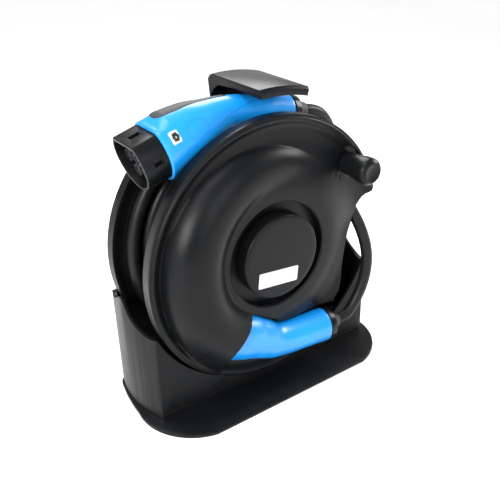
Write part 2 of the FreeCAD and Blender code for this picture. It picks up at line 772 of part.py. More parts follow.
BORE = "dim.axle_radius + dim.run_gap"
SEAT = "dim.axle_radius + dim.bush_wall"
turned("front_bush", [
    (BORE, "dim.well_floor - 1.8"), (SEAT + " + 3", "dim.well_floor - 1.8"),
    (SEAT + " + 3", "dim.well_floor"), (SEAT, "dim.well_floor"),
    (SEAT, "dim.well_floor + dim.bush_length"), (BORE, "dim.well_floor + dim.bush_length")])
turned("rear_bush", [
    (BORE, "dim.rear_cheek + 1.8"), (SEAT + " + 3", "dim.rear_cheek + 1.8"),
    (SEAT + " + 3", "dim.rear_cheek"), (SEAT, "dim.rear_cheek"),
    (SEAT, "dim.rear_cheek - dim.bush_length"), (BORE, "dim.rear_cheek - dim.bush_length")])

turned("hub_cap", [
    ("0", "dim.cap_face"), ("dim.cap_radius - 2.5", "dim.cap_face"),
    ("dim.cap_radius", "dim.cap_face + 2.5"), ("dim.cap_radius", "dim.well_floor"),
    ("dim.cap_radius - 2.2", "dim.well_floor"), ("dim.cap_radius - 2.2", "dim.cap_face + 3.2"),
    ("dim.cap_radius - 3.4", "dim.cap_face + 2.4"), ("0", "dim.cap_face + 2.4")])


def drum_screws():
    made = []
    for spot in drum_screw_spots(0):
        head = spot + Vector(0, d("well_floor"), 0)
        screw = rod(head - Vector(0, 2.6, 0), head, d("screw_radius") + 2.2)
        made.append(screw.fuse(rod(head, head + Vector(0, 22, 0), d("screw_radius") - 0.05)))
    return Part.makeCompound(made)


finish("drum_screws", drum_screws())


def hub_label():
    """Blank paper label stuck on the cap."""
    width, height, thick = d("label_width"), d("label_height"), 0.3
    label = Part.makeBox(width, thick, height, Vector(-width / 2, 0, -height / 2))
    upright = [e for e in label.Edges if abs(e.BoundBox.YLength - thick) < 0.01]
    label = label.makeFillet(1.5, upright)
    label.Placement = Placement(on_axis(d("cap_face") - thick, 0, d("label_drop")),
                                Rotation(Vector(0, 1, 0), d("label_tilt")))
    return label


finish("hub_label", hub_label())


# ---- crank knob -------------------------------------------------------------------------

def on_crank(name, corners):
    """A turned piece on the crank's own axis; the placement follows the sheet."""
    body = turned(name, corners, crank_point(0))
    body.setExpression("Placement.Base.x", "dim.crank_radius * cos(dim.crank_angle)")
    body.setExpression("Placement.Base.z", "dim.axis_height + dim.crank_radius * sin(dim.crank_angle)")
    return body


KNOB_END = "dim.knob_tip"
SHOULDER = "dim.knob_tip + 7"
SPINDLE_END = "dim.crank_seat + dim.skin + dim.spindle_foot_wall"
on_crank("knob_spindle", [
    ("0", SPINDLE_END), ("dim.spindle_foot", SPINDLE_END),
    ("dim.spindle_foot", "dim.crank_seat + dim.skin"), ("dim.spindle_radius", "dim.crank_seat + dim.skin"),
    ("dim.spindle_radius", SHOULDER + " - 0.7"), ("2.05", SHOULDER + " - 0.7"),
    ("2.05", SHOULDER + " + 13"), ("0", SHOULDER + " + 13")])
on_crank("knob_screw", [
    ("0", SHOULDER + " - 4.4"), ("5.2", SHOULDER + " - 4.4"), ("5.2", SHOULDER + " - 2.2"),
    ("7.4", SHOULDER + " - 2.2"), ("7.4", SHOULDER + " - 0.7"), ("2", SHOULDER + " - 0.7"),
    ("2", SHOULDER + " + 11"), ("0", SHOULDER + " + 11")])
on_crank("crank_knob", [
    ("dim.spindle_radius + dim.run_gap", "dim.knob_base"), ("dim.knob_radius - 1", "dim.knob_base"),
    ("dim.knob_radius", "dim.knob_base - 1"), ("dim.knob_radius", "dim.knob_base - 17"),
    ("dim.knob_cap_radius", "dim.knob_base - 20"), ("dim.knob_cap_radius", KNOB_END + " + 4"),
    ("dim.knob_cap_radius - 3.5", KNOB_END), ("8.4", KNOB_END), ("8.4", SHOULDER),
    ("dim.spindle_radius + dim.run_gap", SHOULDER)])
on_crank("knob_cap", [
    ("0", KNOB_END + " + 0.6"), ("8.4", KNOB_END + " + 0.6"), ("8.4", KNOB_END + " + 2"),
    ("0", KNOB_END + " + 2")])


# ---- reel frame: back plate, axle, handle -----------------------------------------------

def back_plate():
    """Rear disc with a rolled rim, ribs and a boss for the axle."""
    radius, face, wall = d("disc_radius"), d("disc_face"), d("disc_wall")
    roll = d("roll_front")
    back = face + wall
    plate = ring_solid([
        (d("axle_radius") + 0.02, face), (radius - wall, face), (radius - wall, roll), (radius, roll),
        (radius, roll + d("roll_depth")), (radius - wall, roll + d("roll_depth")), (radius - wall, back),
        (d("boss_radius"), back), (d("boss_radius") - 2, back + d("boss_depth")),
        (d("axle_radius") + 0.02, back + d("boss_depth"))])
    ring = d("rib_ring")
    ribs = [ring_solid([(ring, back - 0.5), (ring + d("rib_wall"), back - 0.5),
                        (ring + d("rib_wall"), back + d("rib_depth")), (ring, back + d("rib_depth"))])]
    length = radius - wall - d("boss_radius") + 4
    for i in range(8):
        rib = Part.makeBox(length, d("rib_depth") + 0.5, d("rib_wall"),
                           Vector(d("boss_radius") - 3, back - 0.5, -d("rib_wall") / 2))
        rib.rotate(Vector(0, 0, 0), Vector(0, 1, 0), 22.5 + 45 * i)
        rib.translate(on_axis())
        ribs.append(rib)
    plate = plate.fuse(ribs)
    for spot in handle_screw_spots():
        plate = plate.cut(rod(spot + Vector(0, face - 1, 0), spot + Vector(0, back + 6, 0), d("screw_radius")))
    return plate.removeSplitter()


def handle_screw_spots():
    """Centres of the two screws that hold the handle's foot."""
    spots = []
    for side in (-1, 1):
        angle = math.radians(90 - d("handle_lean") + side * 5.0)
        r = d("handle_foot") + 9
        spots.append(on_axis(0, r * math.cos(angle), r * math.sin(angle)))
    return spots


def carry_handle():
    """Hooked plate: a foot on the back plate, a web, and a broad arch to the front."""
    top, wall, front = d("handle_top"), d("handle_wall"), d("handle_front")
    back = d("roll_front") + d("roll_depth") + 0.3
    low = top - wall
    foot = d("handle_foot")
    corners = [(low, front), (top - 2.5, front), (top, front + 2.5), (top, back - 7),
               (top - 2, back - 2), (top - 7, back + 3), (foot, back + 3), (foot, back),
               (d("disc_radius") + 5, back), (low - 8, back - 5), (low - 1, back - 16), (low + 1.5, 0)]
    face = face_of([on_axis(along, 0, radius) for radius, along in corners])
    sweep = math.degrees(d("handle_half") / top)
    start = face.copy()
    start.rotate(on_axis(), Vector(0, 1, 0), d("handle_lean") - sweep)
    hook = start.revolve(on_axis(), Vector(0, 1, 0), 2 * sweep)
    for spot in handle_screw_spots():
        hook = hook.cut(rod(spot + Vector(0, back - 1, 0), spot + Vector(0, back + 8, 0), d("screw_radius")))
    return hook


def handle_screws():
    back = d("roll_front") + d("roll_depth") + 3.3
    made = []
    for spot in handle_screw_spots():
        head = spot + Vector(0, back, 0)
        screw = rod(head, head + Vector(0, 2.4, 0), d("screw_radius") + 2.2)
        made.append(screw.fuse(rod(spot + Vector(0, d("disc_face") + 0.5, 0), head, d("screw_radius") - 0.05)))
    return Part.makeCompound(made)


finish("back_plate", back_plate())
finish("carry_handle", carry_handle())
finish("handle_screws", handle_screws())

BOSS_BACK = "dim.disc_face + dim.disc_wall + dim.boss_depth"
turned("main_axle", [
    ("0", "dim.well_floor - 8"), ("dim.axle_radius - 1", "dim.well_floor - 8"),
    ("dim.axle_radius", "dim.well_floor - 7"), ("dim.axle_radius", "dim.rear_cheek + 2.4"),
    ("dim.axle_radius + 6", "dim.rear_cheek + 2.4"), ("dim.axle_radius + 6", "dim.disc_face"),
    ("dim.axle_radius", "dim.disc_face"), ("dim.axle_radius", BOSS_BACK + " + 8"),
    ("dim.axle_radius - 1", BOSS_BACK + " + 9"), ("0", BOSS_BACK + " + 9")])
for label, start, deep, reach in (("axle_front_washer", "dim.well_floor - 3.8", "1.4", "7"),
                                  ("axle_circlip", "dim.well_floor - 5.2", "1.3", "4"),
                                  ("axle_rear_washer", BOSS_BACK, "1.5", "8")):
    turned(label, [
        ("dim.axle_radius", start), ("dim.axle_radius + " + reach, start),
        ("dim.axle_radius + " + reach, start + " + " + deep), ("dim.axle_radius", start + " + " + deep)])


def axle_nut():
    """Hexagon nut on the back of the axle."""
    start = number(BOSS_BACK) + 1.6
    corners = []
    for i in range(6):
        angle = math.pi / 3 * i
        corners.append(on_axis(start, d("nut_radius") * math.cos(angle), d("nut_radius") * math.sin(angle)))
    nut = face_of(corners).extrude(Vector(0, 5.5, 0))
    return nut.cut(rod(on_axis(start - 1), on_axis(start + 7), d("axle_radius")))


finish("axle_nut", axle_nut())


# ---- cable --------------------------------------------------------------------------------

def cable_winding():
    """Outer shape of the wound cable: neat layers and one loose turn over them."""
    front = d("front_cheek") + d("cheek_wall") + 0.2
    back = d("rear_cheek") - 0.2
    neat, loose, turn = d("wound_radius"), d("loose_radius"), d("cable")
    return ring_solid([
        (d("core_radius") + 0.1, front), (neat - 3, front), (neat, front + 3), (neat, back - turn),
        (loose - 4, back - turn), (loose, back - turn + 4), (loose, back - 4), (loose - 4, back),
        (d("core_radius") + 0.1, back)])


def cord_path(points):
    """Straight runs joined by the largest arcs that the runs allow; returns wire and radii."""
    edges, radii = [], []
    start = points[0]
    for i in range(1, len(points) - 1):
        before, corner, after = points[i - 1], points[i], points[i + 1]
        into, out = corner - before, after - corner
        turn = into.getAngle(out)
        reach = 0.45 * min(into.Length, out.Length)
        radius = reach / math.tan(turn / 2)
        into.normalize()
        out.normalize()
        first, last = corner - into * reach, corner + out * reach
        middle = corner + (out - into).normalize() * (radius / math.cos(turn / 2) - radius)
        edges.append(Part.LineSegment(start, first).toShape())
        edges.append(Part.Arc(first, middle, last).toShape())
        radii.append(radius)
        start = last
    edges.append(Part.LineSegment(start, points[-1]).toShape())
    return Part.Wire(edges), radii


def cord_tube(name, points):
    wire, radii = cord_path(points)
    aim = points[1] - points[0]
    profile = Part.Wire([Part.Circle(points[0], aim, d("cable") / 2).toShape()])
    tube = wire.makePipeShell([profile], True, False)
    whole = math.pi * (d("cable") / 2) ** 2 * wire.Length
    print("%s: length %.0f, radii %s, volume ratio %.4f" % (
        name, wire.Length, " ".join("%.0f" % r for r in radii), tube.Volume / whole))
    print("  corners " + " ".join("(%.1f, %.1f, %.1f)" % tuple(point) for point in points))
    return finish(name, tube)


# corners of each cable's route after it leaves the connector
SUPPLY_ROUTE = [
    (108.0, -50.3, 57.2),
    (119.0, -50.0, 70.5),
    (128.0, -50.0, 88.0),
    (133.5, -49.0, 108.0),
    (134.5, -46.5, 129.0),
    (131.5, -41.0, 150.0),
    (125.0, -33.0, 172.0),
    (113.0, -25.0, 195.0),
    (96.0, -17.5, 216.0),
    (76.0, -13.4, 234.0),
    (57.0, -13.4, 247.0),
]
VEHICLE_ROUTE = [
    (101.0, 1.5, 287.5),
    (113.0, 5.0, 272.5),
    (122.5, 9.5, 254.0),
    (129.5, 13.5, 233.0),
    (133.0, 16.0, 211.0),
    (133.5, 17.2, 190.0),
]


def cable_route(placement, extra, size, corners, lead):
    start, out = cable_exit(placement, extra, size)
    return [start, start + out * lead] + [Vector(*corner) for corner in corners]


def clamp_frame(points):
    """Middle of a cable's last run, with its direction and the direction across it."""
    along = (points[-1] - points[-2]).normalize()
    return (points[-1] + points[-2]) * 0.5, along, along.cross(Vector(0, 1, 0))


def cable_clamp(points):
    """Saddle screwed to the front cheek over the supply cable's inner end."""
    middle, along, across = clamp_frame(points)
    cheek = d("front_cheek")
    front = middle.y - d("cable") / 2 - 2.5
    corners = []
    for a, b in ((-6, -14), (6, -14), (6, 14), (-6, 14)):
        spot = middle + along * a + across * b
        corners.append(Vector(spot.x, front, spot.z))
    block = face_of(corners).extrude(Vector(0, cheek - front, 0))
    block = block.cut(rod(middle - along * 20, middle + along * 20, d("cable") / 2 + 0.3))
    for spot in clamp_screw_spots(points):
        block = block.cut(rod(spot + Vector(0, front - 1, 0), spot + Vector(0, cheek + 1, 0), 1.5))
    return block


def clamp_screw_spots(points):
    middle, along, across = clamp_frame(points)
    return [Vector((middle + across * b).x, 0, (middle + across * b).z) for b in (-10.6, 10.6)]


def clamp_screws(points):
    made = []
    front = points[-1].y - d("cable") / 2 - 2.5
    for spot in clamp_screw_spots(points):
        head = spot + Vector(0, front, 0)
        made.append(rod(head - Vector(0, 2, 0), head, 2.8).fuse(
            rod(head, spot + Vector(0, d("front_cheek") - 0.1, 0), 1.45)))
    return Part.makeCompound(made)


supply_points = cable_route(SUPPLY_AT, SUPPLY_EXTRA, SUPPLY_SIZE, SUPPLY_ROUTE, 11.0)
vehicle_points = cable_route(VEHICLE_AT, 0.0, 1.0, VEHICLE_ROUTE, 14.0)
finish("cable_winding", cable_winding())
cord_tube("supply_cable", supply_points)
cord_tube("vehicle_cable", vehicle_points)
finish("cable_clamp", cable_clamp(supply_points))
finish("clamp_screws", clamp_screws(supply_points))

# ---- write every piece -----------------------------------------------------------------

doc.recompute()
for item in doc.Objects:
    if "Invalid" in item.State or "Error" in item.State:
        raise SystemExit("%s did not build: %s" % (item.Name, item.State))
for piece in pieces:
    shape = piece.Shape
    if shape.isNull() or not shape.isValid():
        raise SystemExit("%s has no valid shape" % piece.Label)
    shape.exportStep("parts/%s.step" % piece.Label)
    box = shape.BoundBox
    print("%-26s %9.0f mm3 %d solid(s)  x %.1f..%.1f  y %.1f..%.1f  z %.1f..%.1f" % (
        piece.Label, shape.Volume, len(shape.Solids), box.XMin, box.XMax, box.YMin, box.YMax,
        box.ZMin, box.ZMax))
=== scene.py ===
import json
import math

import bmesh
import bpy
import numpy as np
from mathutils import Matrix, Vector


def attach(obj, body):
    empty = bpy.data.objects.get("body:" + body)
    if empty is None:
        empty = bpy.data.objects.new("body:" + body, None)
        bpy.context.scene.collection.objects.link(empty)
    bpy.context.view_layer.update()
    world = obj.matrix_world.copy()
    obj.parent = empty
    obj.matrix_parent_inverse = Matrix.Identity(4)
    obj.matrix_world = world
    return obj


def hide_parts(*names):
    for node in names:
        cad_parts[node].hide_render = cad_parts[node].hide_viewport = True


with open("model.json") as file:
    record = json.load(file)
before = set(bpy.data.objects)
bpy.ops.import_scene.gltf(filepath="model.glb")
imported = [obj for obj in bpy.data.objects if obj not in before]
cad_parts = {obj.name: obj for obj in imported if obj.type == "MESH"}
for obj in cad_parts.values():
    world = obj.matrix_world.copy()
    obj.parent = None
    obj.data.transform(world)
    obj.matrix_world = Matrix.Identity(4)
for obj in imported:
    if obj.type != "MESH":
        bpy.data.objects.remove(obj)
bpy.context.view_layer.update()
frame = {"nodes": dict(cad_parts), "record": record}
nodes = frame["nodes"]
mm = 0.001
axisHeight = 167.5  # reel axis above the floor, mm
print("frame loaded:", len(nodes), "nodes")


# camera and light

cameraSet = {
    "place": (-0.3948, -0.5732, 0.5193),
    "lookAt": (0.0, -0.043, 0.1675),
    "roll": -0.42,  # degrees
    "lens": 50.76,
    "sensor": 36,
    "shift": (-0.0478, 0.0045),
}


def makeCamera():
    place, lookAt = Vector(cameraSet["place"]), Vector(cameraSet["lookAt"])
    back = (place - lookAt).normalized()
    right = Vector((0, 0, 1)).cross(back).normalized()
    up = back.cross(right)
    roll = math.radians(cameraSet["roll"])
    rolledRight = right * math.cos(roll) + up * math.sin(roll)
    rolledUp = up * math.cos(roll) - right * math.sin(roll)
    data = bpy.data.cameras.new("camera")
    data.lens = cameraSet["lens"]
    data.sensor_width = cameraSet["sensor"]
    data.shift_x, data.shift_y = cameraSet["shift"]
    camera = bpy.data.objects.new("camera", data)
    facing = Matrix((rolledRight, rolledUp, back)).transposed().to_4x4()
    camera.matrix_world = Matrix.Translation(place) @ facing
    bpy.context.scene.collection.objects.link(camera)
    bpy.context.scene.camera = camera


lightSet = {  # place, size, power in watts
    "key": ((-1.15, -0.55, 0.75), 0.5, 17.0),
    "front": ((0.0, -1.5, 0.8), 0.9, 7.0),
    "back": ((0.35, 0.65, 0.9), 0.6, 9.0),
    "side": ((1.1, -0.2, 0.7), 0.5, 10.0),
}
lampAim = (0, 0, 0.17)
sunSet = {"angle": 50, "strength": 2.45, "from": (-0.35, 0.10, 1.0), "world": 0.36}


def makeLights():
    for name, (place, size, power) in lightSet.items():
        data = bpy.data.lights.new(name, "AREA")
        data.size = size
        data.energy = power
        lamp = bpy.data.objects.new(name, data)
        lamp.location = place
        ahead = Vector(lampAim) - Vector(place)
        lamp.rotation_euler = ahead.to_track_quat("-Z", "Y").to_euler()
        bpy.context.scene.collection.objects.link(lamp)
    sunData = bpy.data.lights.new("sun", "SUN")
    sunData.angle = math.radians(sunSet["angle"])
    sunData.energy = sunSet["strength"]
    sun = bpy.data.objects.new("sun", sunData)
    sun.rotation_euler = Vector(sunSet["from"]).to_track_quat("Z", "Y").to_euler()
    bpy.context.scene.collection.objects.link(sun)
    world = bpy.data.worlds.new("studio")
    world.use_nodes = True
    sky = world.node_tree.nodes["Background"].inputs
    sky["Color"].default_value = (1, 1, 1, 1)
    sky["Strength"].default_value = sunSet["world"]
    bpy.context.scene.world = world
    bpy.context.scene.view_settings.view_transform = "Standard"


makeCamera()
makeLights()


# finishes

def linear(hexCode):
    parts = [int(hexCode[i:i + 2], 16) / 255 for i in (1, 3, 5)]
    return tuple(p / 12.92 if p <= 0.04045 else ((p + 0.055) / 1.055) ** 2.4
                 for p in parts) + (1.0,)


def addNode(tree, kind, values=None, links=None, **settings):
    made = tree.nodes.new(kind)
    for key, value in settings.items():
        setattr(made, key, value)
    for key, value in (values or {}).items():
        made.inputs[key].default_value = value
    for key, source in (links or {}).items():
        tree.links.new(source, made.inputs[key])
    return made


def surface(name, look):
    material = bpy.data.materials.new(name)
    material.use_nodes = True
    tree = material.node_tree
    tree.nodes.clear()
    where = addNode(tree, "ShaderNodeTexCoord").outputs["Object"]
    cloud = addNode(tree, "ShaderNodeTexNoise", {"Scale": look["cloud"], "Detail": 4.0},
                    {"Vector": where})
    grain = addNode(tree, "ShaderNodeTexNoise", {"Scale": look["grain"], "Detail": 2.0},
                    {"Vector": where})
    tint = addNode(tree, "ShaderNodeMix", {6: linear(look["dark"]), 7: linear(look["light"])},
                   {0: cloud.outputs[0]}, data_type="RGBA")
    ends = {"From Min": 0.3, "From Max": 0.7,
            "To Min": look["rough"] - look["spread"], "To Max": look["rough"] + look["spread"]}
    rough = addNode(tree, "ShaderNodeMapRange", ends, {"Value": cloud.outputs[0]})
    bump = addNode(tree, "ShaderNodeBump", {"Strength": look["bump"], "Distance": look["depth"]},
                   {"Height": grain.outputs[0]})
    values = {"Metallic": look.get("metallic", 0.0), "IOR": look.get("ior", 1.5),
              "Specular IOR Level": look.get("shine", 0.5),
              "Coat Weight": look.get("coat", 0.0), "Coat Roughness": look.get("coatRough", 0.1)}
    links = {"Base Color": tint.outputs[2], "Roughness": rough.outputs[0],
             "Normal": bump.outputs[0]}
    shader = addNode(tree, "ShaderNodeBsdfPrincipled", values, links)
    addNode(tree, "ShaderNodeOutputMaterial", links={"Surface": shader.outputs[0]})
    return material


looks = {
    # injection moulded ABS with a fine spark texture: deep black, broad soft highlights
    "mouldedAbs": {"dark": "#0C0D0E", "light": "#131416", "rough": 0.36, "spread": 0.05,
                   "grain": 1500, "cloud": 22, "bump": 0.10, "depth": 0.0002,
                   "ior": 1.53, "shine": 0.15},
    # the same plastic polished smoother, on small parts
    "smoothAbs": {"dark": "#0A0B0C", "light": "#101113", "rough": 0.27, "spread": 0.05,
                  "grain": 1200, "cloud": 30, "bump": 0.05, "depth": 0.0002,
                  "ior": 1.53, "shine": 0.2},
    # moulded polyamide of the grips: bright blue with a clear gloss
    "bluePolyamide": {"dark": "#0C86DE", "light": "#139AF0", "rough": 0.30, "spread": 0.05,
                      "grain": 900, "cloud": 18, "bump": 0.04, "depth": 0.0002,
                      "ior": 1.53, "coat": 0.25, "coatRough": 0.2},
    # the same polyamide painted darker: painted shade along the moulded lines of the grips
    "bluePaintedShade": {"dark": "#0A6FBE", "light": "#0D7BD0", "rough": 0.5, "spread": 0.05,
                   "grain": 900, "cloud": 18, "bump": 0.04, "depth": 0.0002,
                   "ior": 1.53},
    # soft-touch elastomer: dull dark grey
    "softElastomer": {"dark": "#2E3133", "light": "#3A3D40", "rough": 0.62, "spread": 0.06,
                      "grain": 1600, "cloud": 30, "bump": 0.25, "depth": 0.0002,
                      "ior": 1.5},
    # extruded polyurethane cable sheath: smooth, slightly waxy black
    "polyurethaneSheath": {"dark": "#101112", "light": "#1A1B1D", "rough": 0.42, "spread": 0.08,
                           "grain": 700, "cloud": 40, "bump": 0.12, "depth": 0.0002,
                           "ior": 1.5, "shine": 0.22},
    # moulded rubber pads: matt
    "mouldedRubber": {"dark": "#141414", "light": "#1D1D1D", "rough": 0.8, "spread": 0.06,
                      "grain": 1400, "cloud": 40, "bump": 0.3, "depth": 0.0002},
    # moulded insulator behind the contacts: matt near black
    "mouldedInsulator": {"dark": "#15171A", "light": "#1D2024", "rough": 0.5, "spread": 0.05,
                         "grain": 1500, "cloud": 60, "bump": 0.08, "depth": 0.0002},
    # silver plated contacts: soft bright metal
    "platedSilver": {"dark": "#B9B6AE", "light": "#D2D0CA", "rough": 0.3, "spread": 0.06,
                     "grain": 2500, "cloud": 90, "bump": 0.05, "depth": 0.0001,
                     "metallic": 1.0},
    # zinc plated steel of fasteners and axle: pale grey metal with a satin turn
    "zincSteel": {"dark": "#8D9092", "light": "#A8ABAD", "rough": 0.34, "spread": 0.08,
                  "grain": 1800, "cloud": 70, "bump": 0.1, "depth": 0.0001,
                  "metallic": 1.0},
    # natural acetal bushes: ivory, waxy
    "naturalAcetal": {"dark": "#D8D4C6", "light": "#E4E1D6", "rough": 0.45, "spread": 0.05,
                      "grain": 900, "cloud": 50, "bump": 0.05, "depth": 0.0002},
    # blank laminated label: white with a faint paper cloud
    "laminatedLabel": {"dark": "#CFD0D2", "light": "#DCDDDE", "rough": 0.35, "spread": 0.04,
                       "grain": 600, "cloud": 60, "bump": 0.03, "depth": 0.0001},
    # printed ink line on the label and sticker
    "printedInk": {"dark": "#1A1D20", "light": "#26292C", "rough": 0.4, "spread": 0.04,
                   "grain": 600, "cloud": 60, "bump": 0.02, "depth": 0.0001},
    # matt painted floor, very even
    "paintedFloor": {"dark": "#F1F1F1", "light": "#F5F5F5", "rough": 0.85, "spread": 0.03,
                     "grain": 60, "cloud": 2, "bump": 0.02, "depth": 0.0005},
}
finishes = {name: surface(name, look) for name, look in looks.items()}
slotFinish = {
    "black_plastic": "mouldedAbs",
    "blue_grip": "bluePolyamide",
    "grey_elastomer": "softElastomer",
    "cable_sheath": "polyurethaneSheath",
    "rubber": "mouldedRubber",
    "contact_insulator": "mouldedInsulator",
    "plated_contact": "platedSilver",
    "steel": "zincSteel",
    "bearing_plastic": "naturalAcetal",
    "label_film": "laminatedLabel",
}
nodeSlot = {part["node"]: part["material_slot"] for part in frame["record"]["subparts"]}
nodeBody = {name: body for body, names in frame["record"]["behaviour"]["bodies"].items()
            for name in names}
for name, cadNode in nodes.items():
    cadNode.data.materials.clear()
    cadNode.data.materials.append(finishes[slotFinish[nodeSlot[name]]])
print("finishes made:", len(finishes))


# floor

floorMesh = bpy.data.meshes.new("floor")
floorHalf = 6.0
floorMesh.from_pydata([(-floorHalf, -floorHalf, 0), (floorHalf, -floorHalf, 0),
                       (floorHalf, floorHalf, 0), (-floorHalf, floorHalf, 0)], [], [(0, 1, 2, 3)])
floorMesh.materials.append(finishes["paintedFloor"])
floor = bpy.data.objects.new("floor", floorMesh)
bpy.context.scene.collection.objects.link(floor)


# shared helpers: every length in them is in mm, and a mesh is made in metres at the origin

weld = 1e-6  # points nearer than this, in metres, are one


def newPiece(name, points, faces, finish, sharpAngle=35.0):
    mesh = bpy.data.meshes.new(name)
    mesh.from_pydata([tuple(Vector(p) * mm) for p in points], [], faces)
    mesh.validate()
    return dress(name, mesh, finish, sharpAngle)


def dress(name, mesh, finish, sharpAngle=35.0):
    mesh.materials.clear()
    mesh.materials.append(finishes[finish])
    mesh.shade_smooth()
    mesh.set_sharp_from_angle(angle=math.radians(sharpAngle))
    piece = bpy.data.objects.new(name, mesh)
    bpy.context.scene.collection.objects.link(piece)
    return piece


def settle(piece, body, slot, *replaced):
    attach(piece, body)
    if replaced:
        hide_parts(*replaced)
    return piece


def bevelled(nodeName, width, finish=None, segments=3, angle=28.0):
    # a CAD piece with its sharp edges rounded
    mesh = bpy.data.meshes.new(nodeName + "Soft")
    shell = bmesh.new()
    shell.from_mesh(nodes[nodeName].data)
    bmesh.ops.remove_doubles(shell, verts=shell.verts, dist=weld)
    bmesh.ops.dissolve_limit(shell, angle_limit=math.radians(0.02), verts=shell.verts,
                             edges=shell.edges)
    shell.to_mesh(mesh)
    shell.free()
    piece = dress(nodeName + "Soft", mesh, finish or slotFinish[nodeSlot[nodeName]], 60.0)
    rounding = piece.modifiers.new("rounding", "BEVEL")
    rounding.width = width * mm
    rounding.segments = segments
    rounding.limit_method = "ANGLE"
    rounding.angle_limit = math.radians(angle)
    rounding.harden_normals = True
    rounding.miter_outer = "MITER_ARC"
    return settle(piece, nodeBody[nodeName], nodeSlot[nodeName], nodeName)


def turnedPiece(name, profile, centre, finish, steps=96):
    # profile is (radius, distance along the axis) from the front centre to the back
    points, faces = [], []
    rings = []
    for radius, along in profile:
        if radius < 1e-6:
            rings.append([len(points)])
            points.append((centre[0], along, centre[1]))
            continue
        ring = []
        for i in range(steps):
            a = 2 * math.pi * i / steps
            ring.append(len(points))
            points.append((centre[0] + radius * math.cos(a), along, centre[1] + radius
                           * math.sin(a)))
        rings.append(ring)
    for one, two in zip(rings, rings[1:]):
        for i in range(steps):
            j = (i + 1) % steps
            if len(one) == 1 and len(two) > 1:
                faces.append((one[0], two[i], two[j]))
            elif len(two) == 1 and len(one) > 1:
                faces.append((one[i], two[0], one[j]))
            elif len(one) > 1:
                faces.append((one[i], two[i], two[j], one[j]))
    piece = newPiece(name, points, faces, finish)
    fixNormals(piece.data)
    return piece


def fixNormals(mesh):
    shell = bmesh.new()
    shell.from_mesh(mesh)
    bmesh.ops.remove_doubles(shell, verts=shell.verts, dist=weld)
    bmesh.ops.recalc_face_normals(shell, faces=shell.faces)
    shell.to_mesh(mesh)
    shell.free()
    mesh.shade_smooth()
    mesh.set_sharp_from_angle(angle=math.radians(35))


def rounded(corners, radius, steps=4):
    # a profile whose inner corners are rounded
    made = [corners[0]]
    for before, corner, after in zip(corners, corners[1:], corners[2:]):
        a, b, c = Vector(before), Vector(corner), Vector(after)
        reach = min(radius, 0.45 * (a - b).length, 0.45 * (c - b).length)
        start, end = b + (a - b).normalized() * reach, b + (c - b).normalized() * reach
        for i in range(steps + 1):
            t = i / steps
            made.append(tuple(start * (1 - t) ** 2 + b * 2 * t * (1 - t) + end * t ** 2))
    return made + [corners[-1]]


# cables: routes in mm, the same corners as the solids have

supplyRoute = [
    (87.3, -50.6, 51.8), (98.2, -51.2, 51.2), (108.0, -50.3, 57.2), (119.0, -50.0, 70.5),
    (128.0, -50.0, 88.0), (133.5, -49.0, 108.0), (134.5, -46.5, 129.0), (131.5, -41.0, 150.0),
    (125.0, -33.0, 172.0), (113.0, -25.0, 195.0), (96.0, -17.5, 216.0), (76.0, -13.4, 234.0),
    (57.0, -13.4, 247.0),
]
vehicleRoute = [
    (73.1, 0.0, 298.6), (86.8, 0.0, 296.2), (101.0, 1.5, 287.5), (113.0, 5.0, 272.5),
    (122.5, 9.5, 254.0), (129.5, 13.5, 233.0), (133.0, 16.0, 211.0), (133.5, 17.2, 190.0),
]
coil = {
    "cable": 13.6,
    "layers": [110.4, 96.7, 83.0],  # radius of each layer's middle, outermost first
    "rows": [4.0, 17.65, 31.3],  # where the turns of a layer lie along the axis
    "looseRadius": 128.0,
    "pointsPerTurn": 16,
    "crossing": 4,  # points over which a turn moves to the next place
    "start": 10,  # degrees the turns are set back
    "lead": [(133.5, 17.2, 190.0), (134.3, 18.5, 168.0), (131.5, 24.0, 144.0)],
    "stepsAlong": 8,
    "stepsRound": 5,
}


def coilPoints():
    # from the outer end inwards: one loose turn, then the layers, each wound back and forth
    stops = [(coil["looseRadius"], coil["rows"][-1])]
    rows = coil["rows"][::-1]
    for radius in coil["layers"]:
        stops += [(radius, row) for row in rows]
        rows = rows[::-1]
    per, cross = coil["pointsPerTurn"], coil["crossing"]
    bulge = 2 / (1 + math.cos(math.pi / per))  # a quadratic spline runs inside its control points
    points = list(coil["lead"])
    for i, (radius, row) in enumerate(stops):
        following = stops[i + 1] if i + 1 < len(stops) else (radius, row)
        for k in range(per):
            if i == 0 and k < len(coil["lead"]):
                continue
            share = max(0.0, (k - (per - cross)) / cross)
            share = share * share * (3 - 2 * share)
            r = (radius + (following[0] - radius) * share) * bulge
            y = row + (following[1] - row) * share
            a = -2 * math.pi * k / per + math.radians(coil["start"])
            points.append((r * math.cos(a), y, axisHeight + r * math.sin(a)))
    return points


def cable(name, route, body, replaced):
    curve = bpy.data.curves.new(name, "CURVE")
    curve.dimensions = "3D"
    spline = curve.splines.new("NURBS")
    spline.points.add(len(route) - 1)
    for point, place in zip(spline.points, route):
        point.co = (place[0] * mm, place[1] * mm, place[2] * mm, 1)
    spline.order_u = 3
    spline.use_endpoint_u = True
    spline.resolution_u = coil["stepsAlong"]
    curve.bevel_depth = coil["cable"] / 2 * mm
    curve.bevel_resolution = coil["stepsRound"]
    curve.use_fill_caps = True
    curve.materials.append(finishes["polyurethaneSheath"])
    piece = bpy.data.objects.new(name, curve)
    bpy.context.scene.collection.objects.link(piece)
    settle(piece, body, "cable_sheath", *replaced)
    return piece


cable("supplyCable", supplyRoute, "drum", ["supply_cable"])
cable("vehicleCable", vehicleRoute, "reel_frame", ["vehicle_cable"])
cable("woundCable", coilPoints(), "drum", ["cable_winding"])
print("cables laid")


# front flange: a dished disc whose holster swells round it to an open mouth

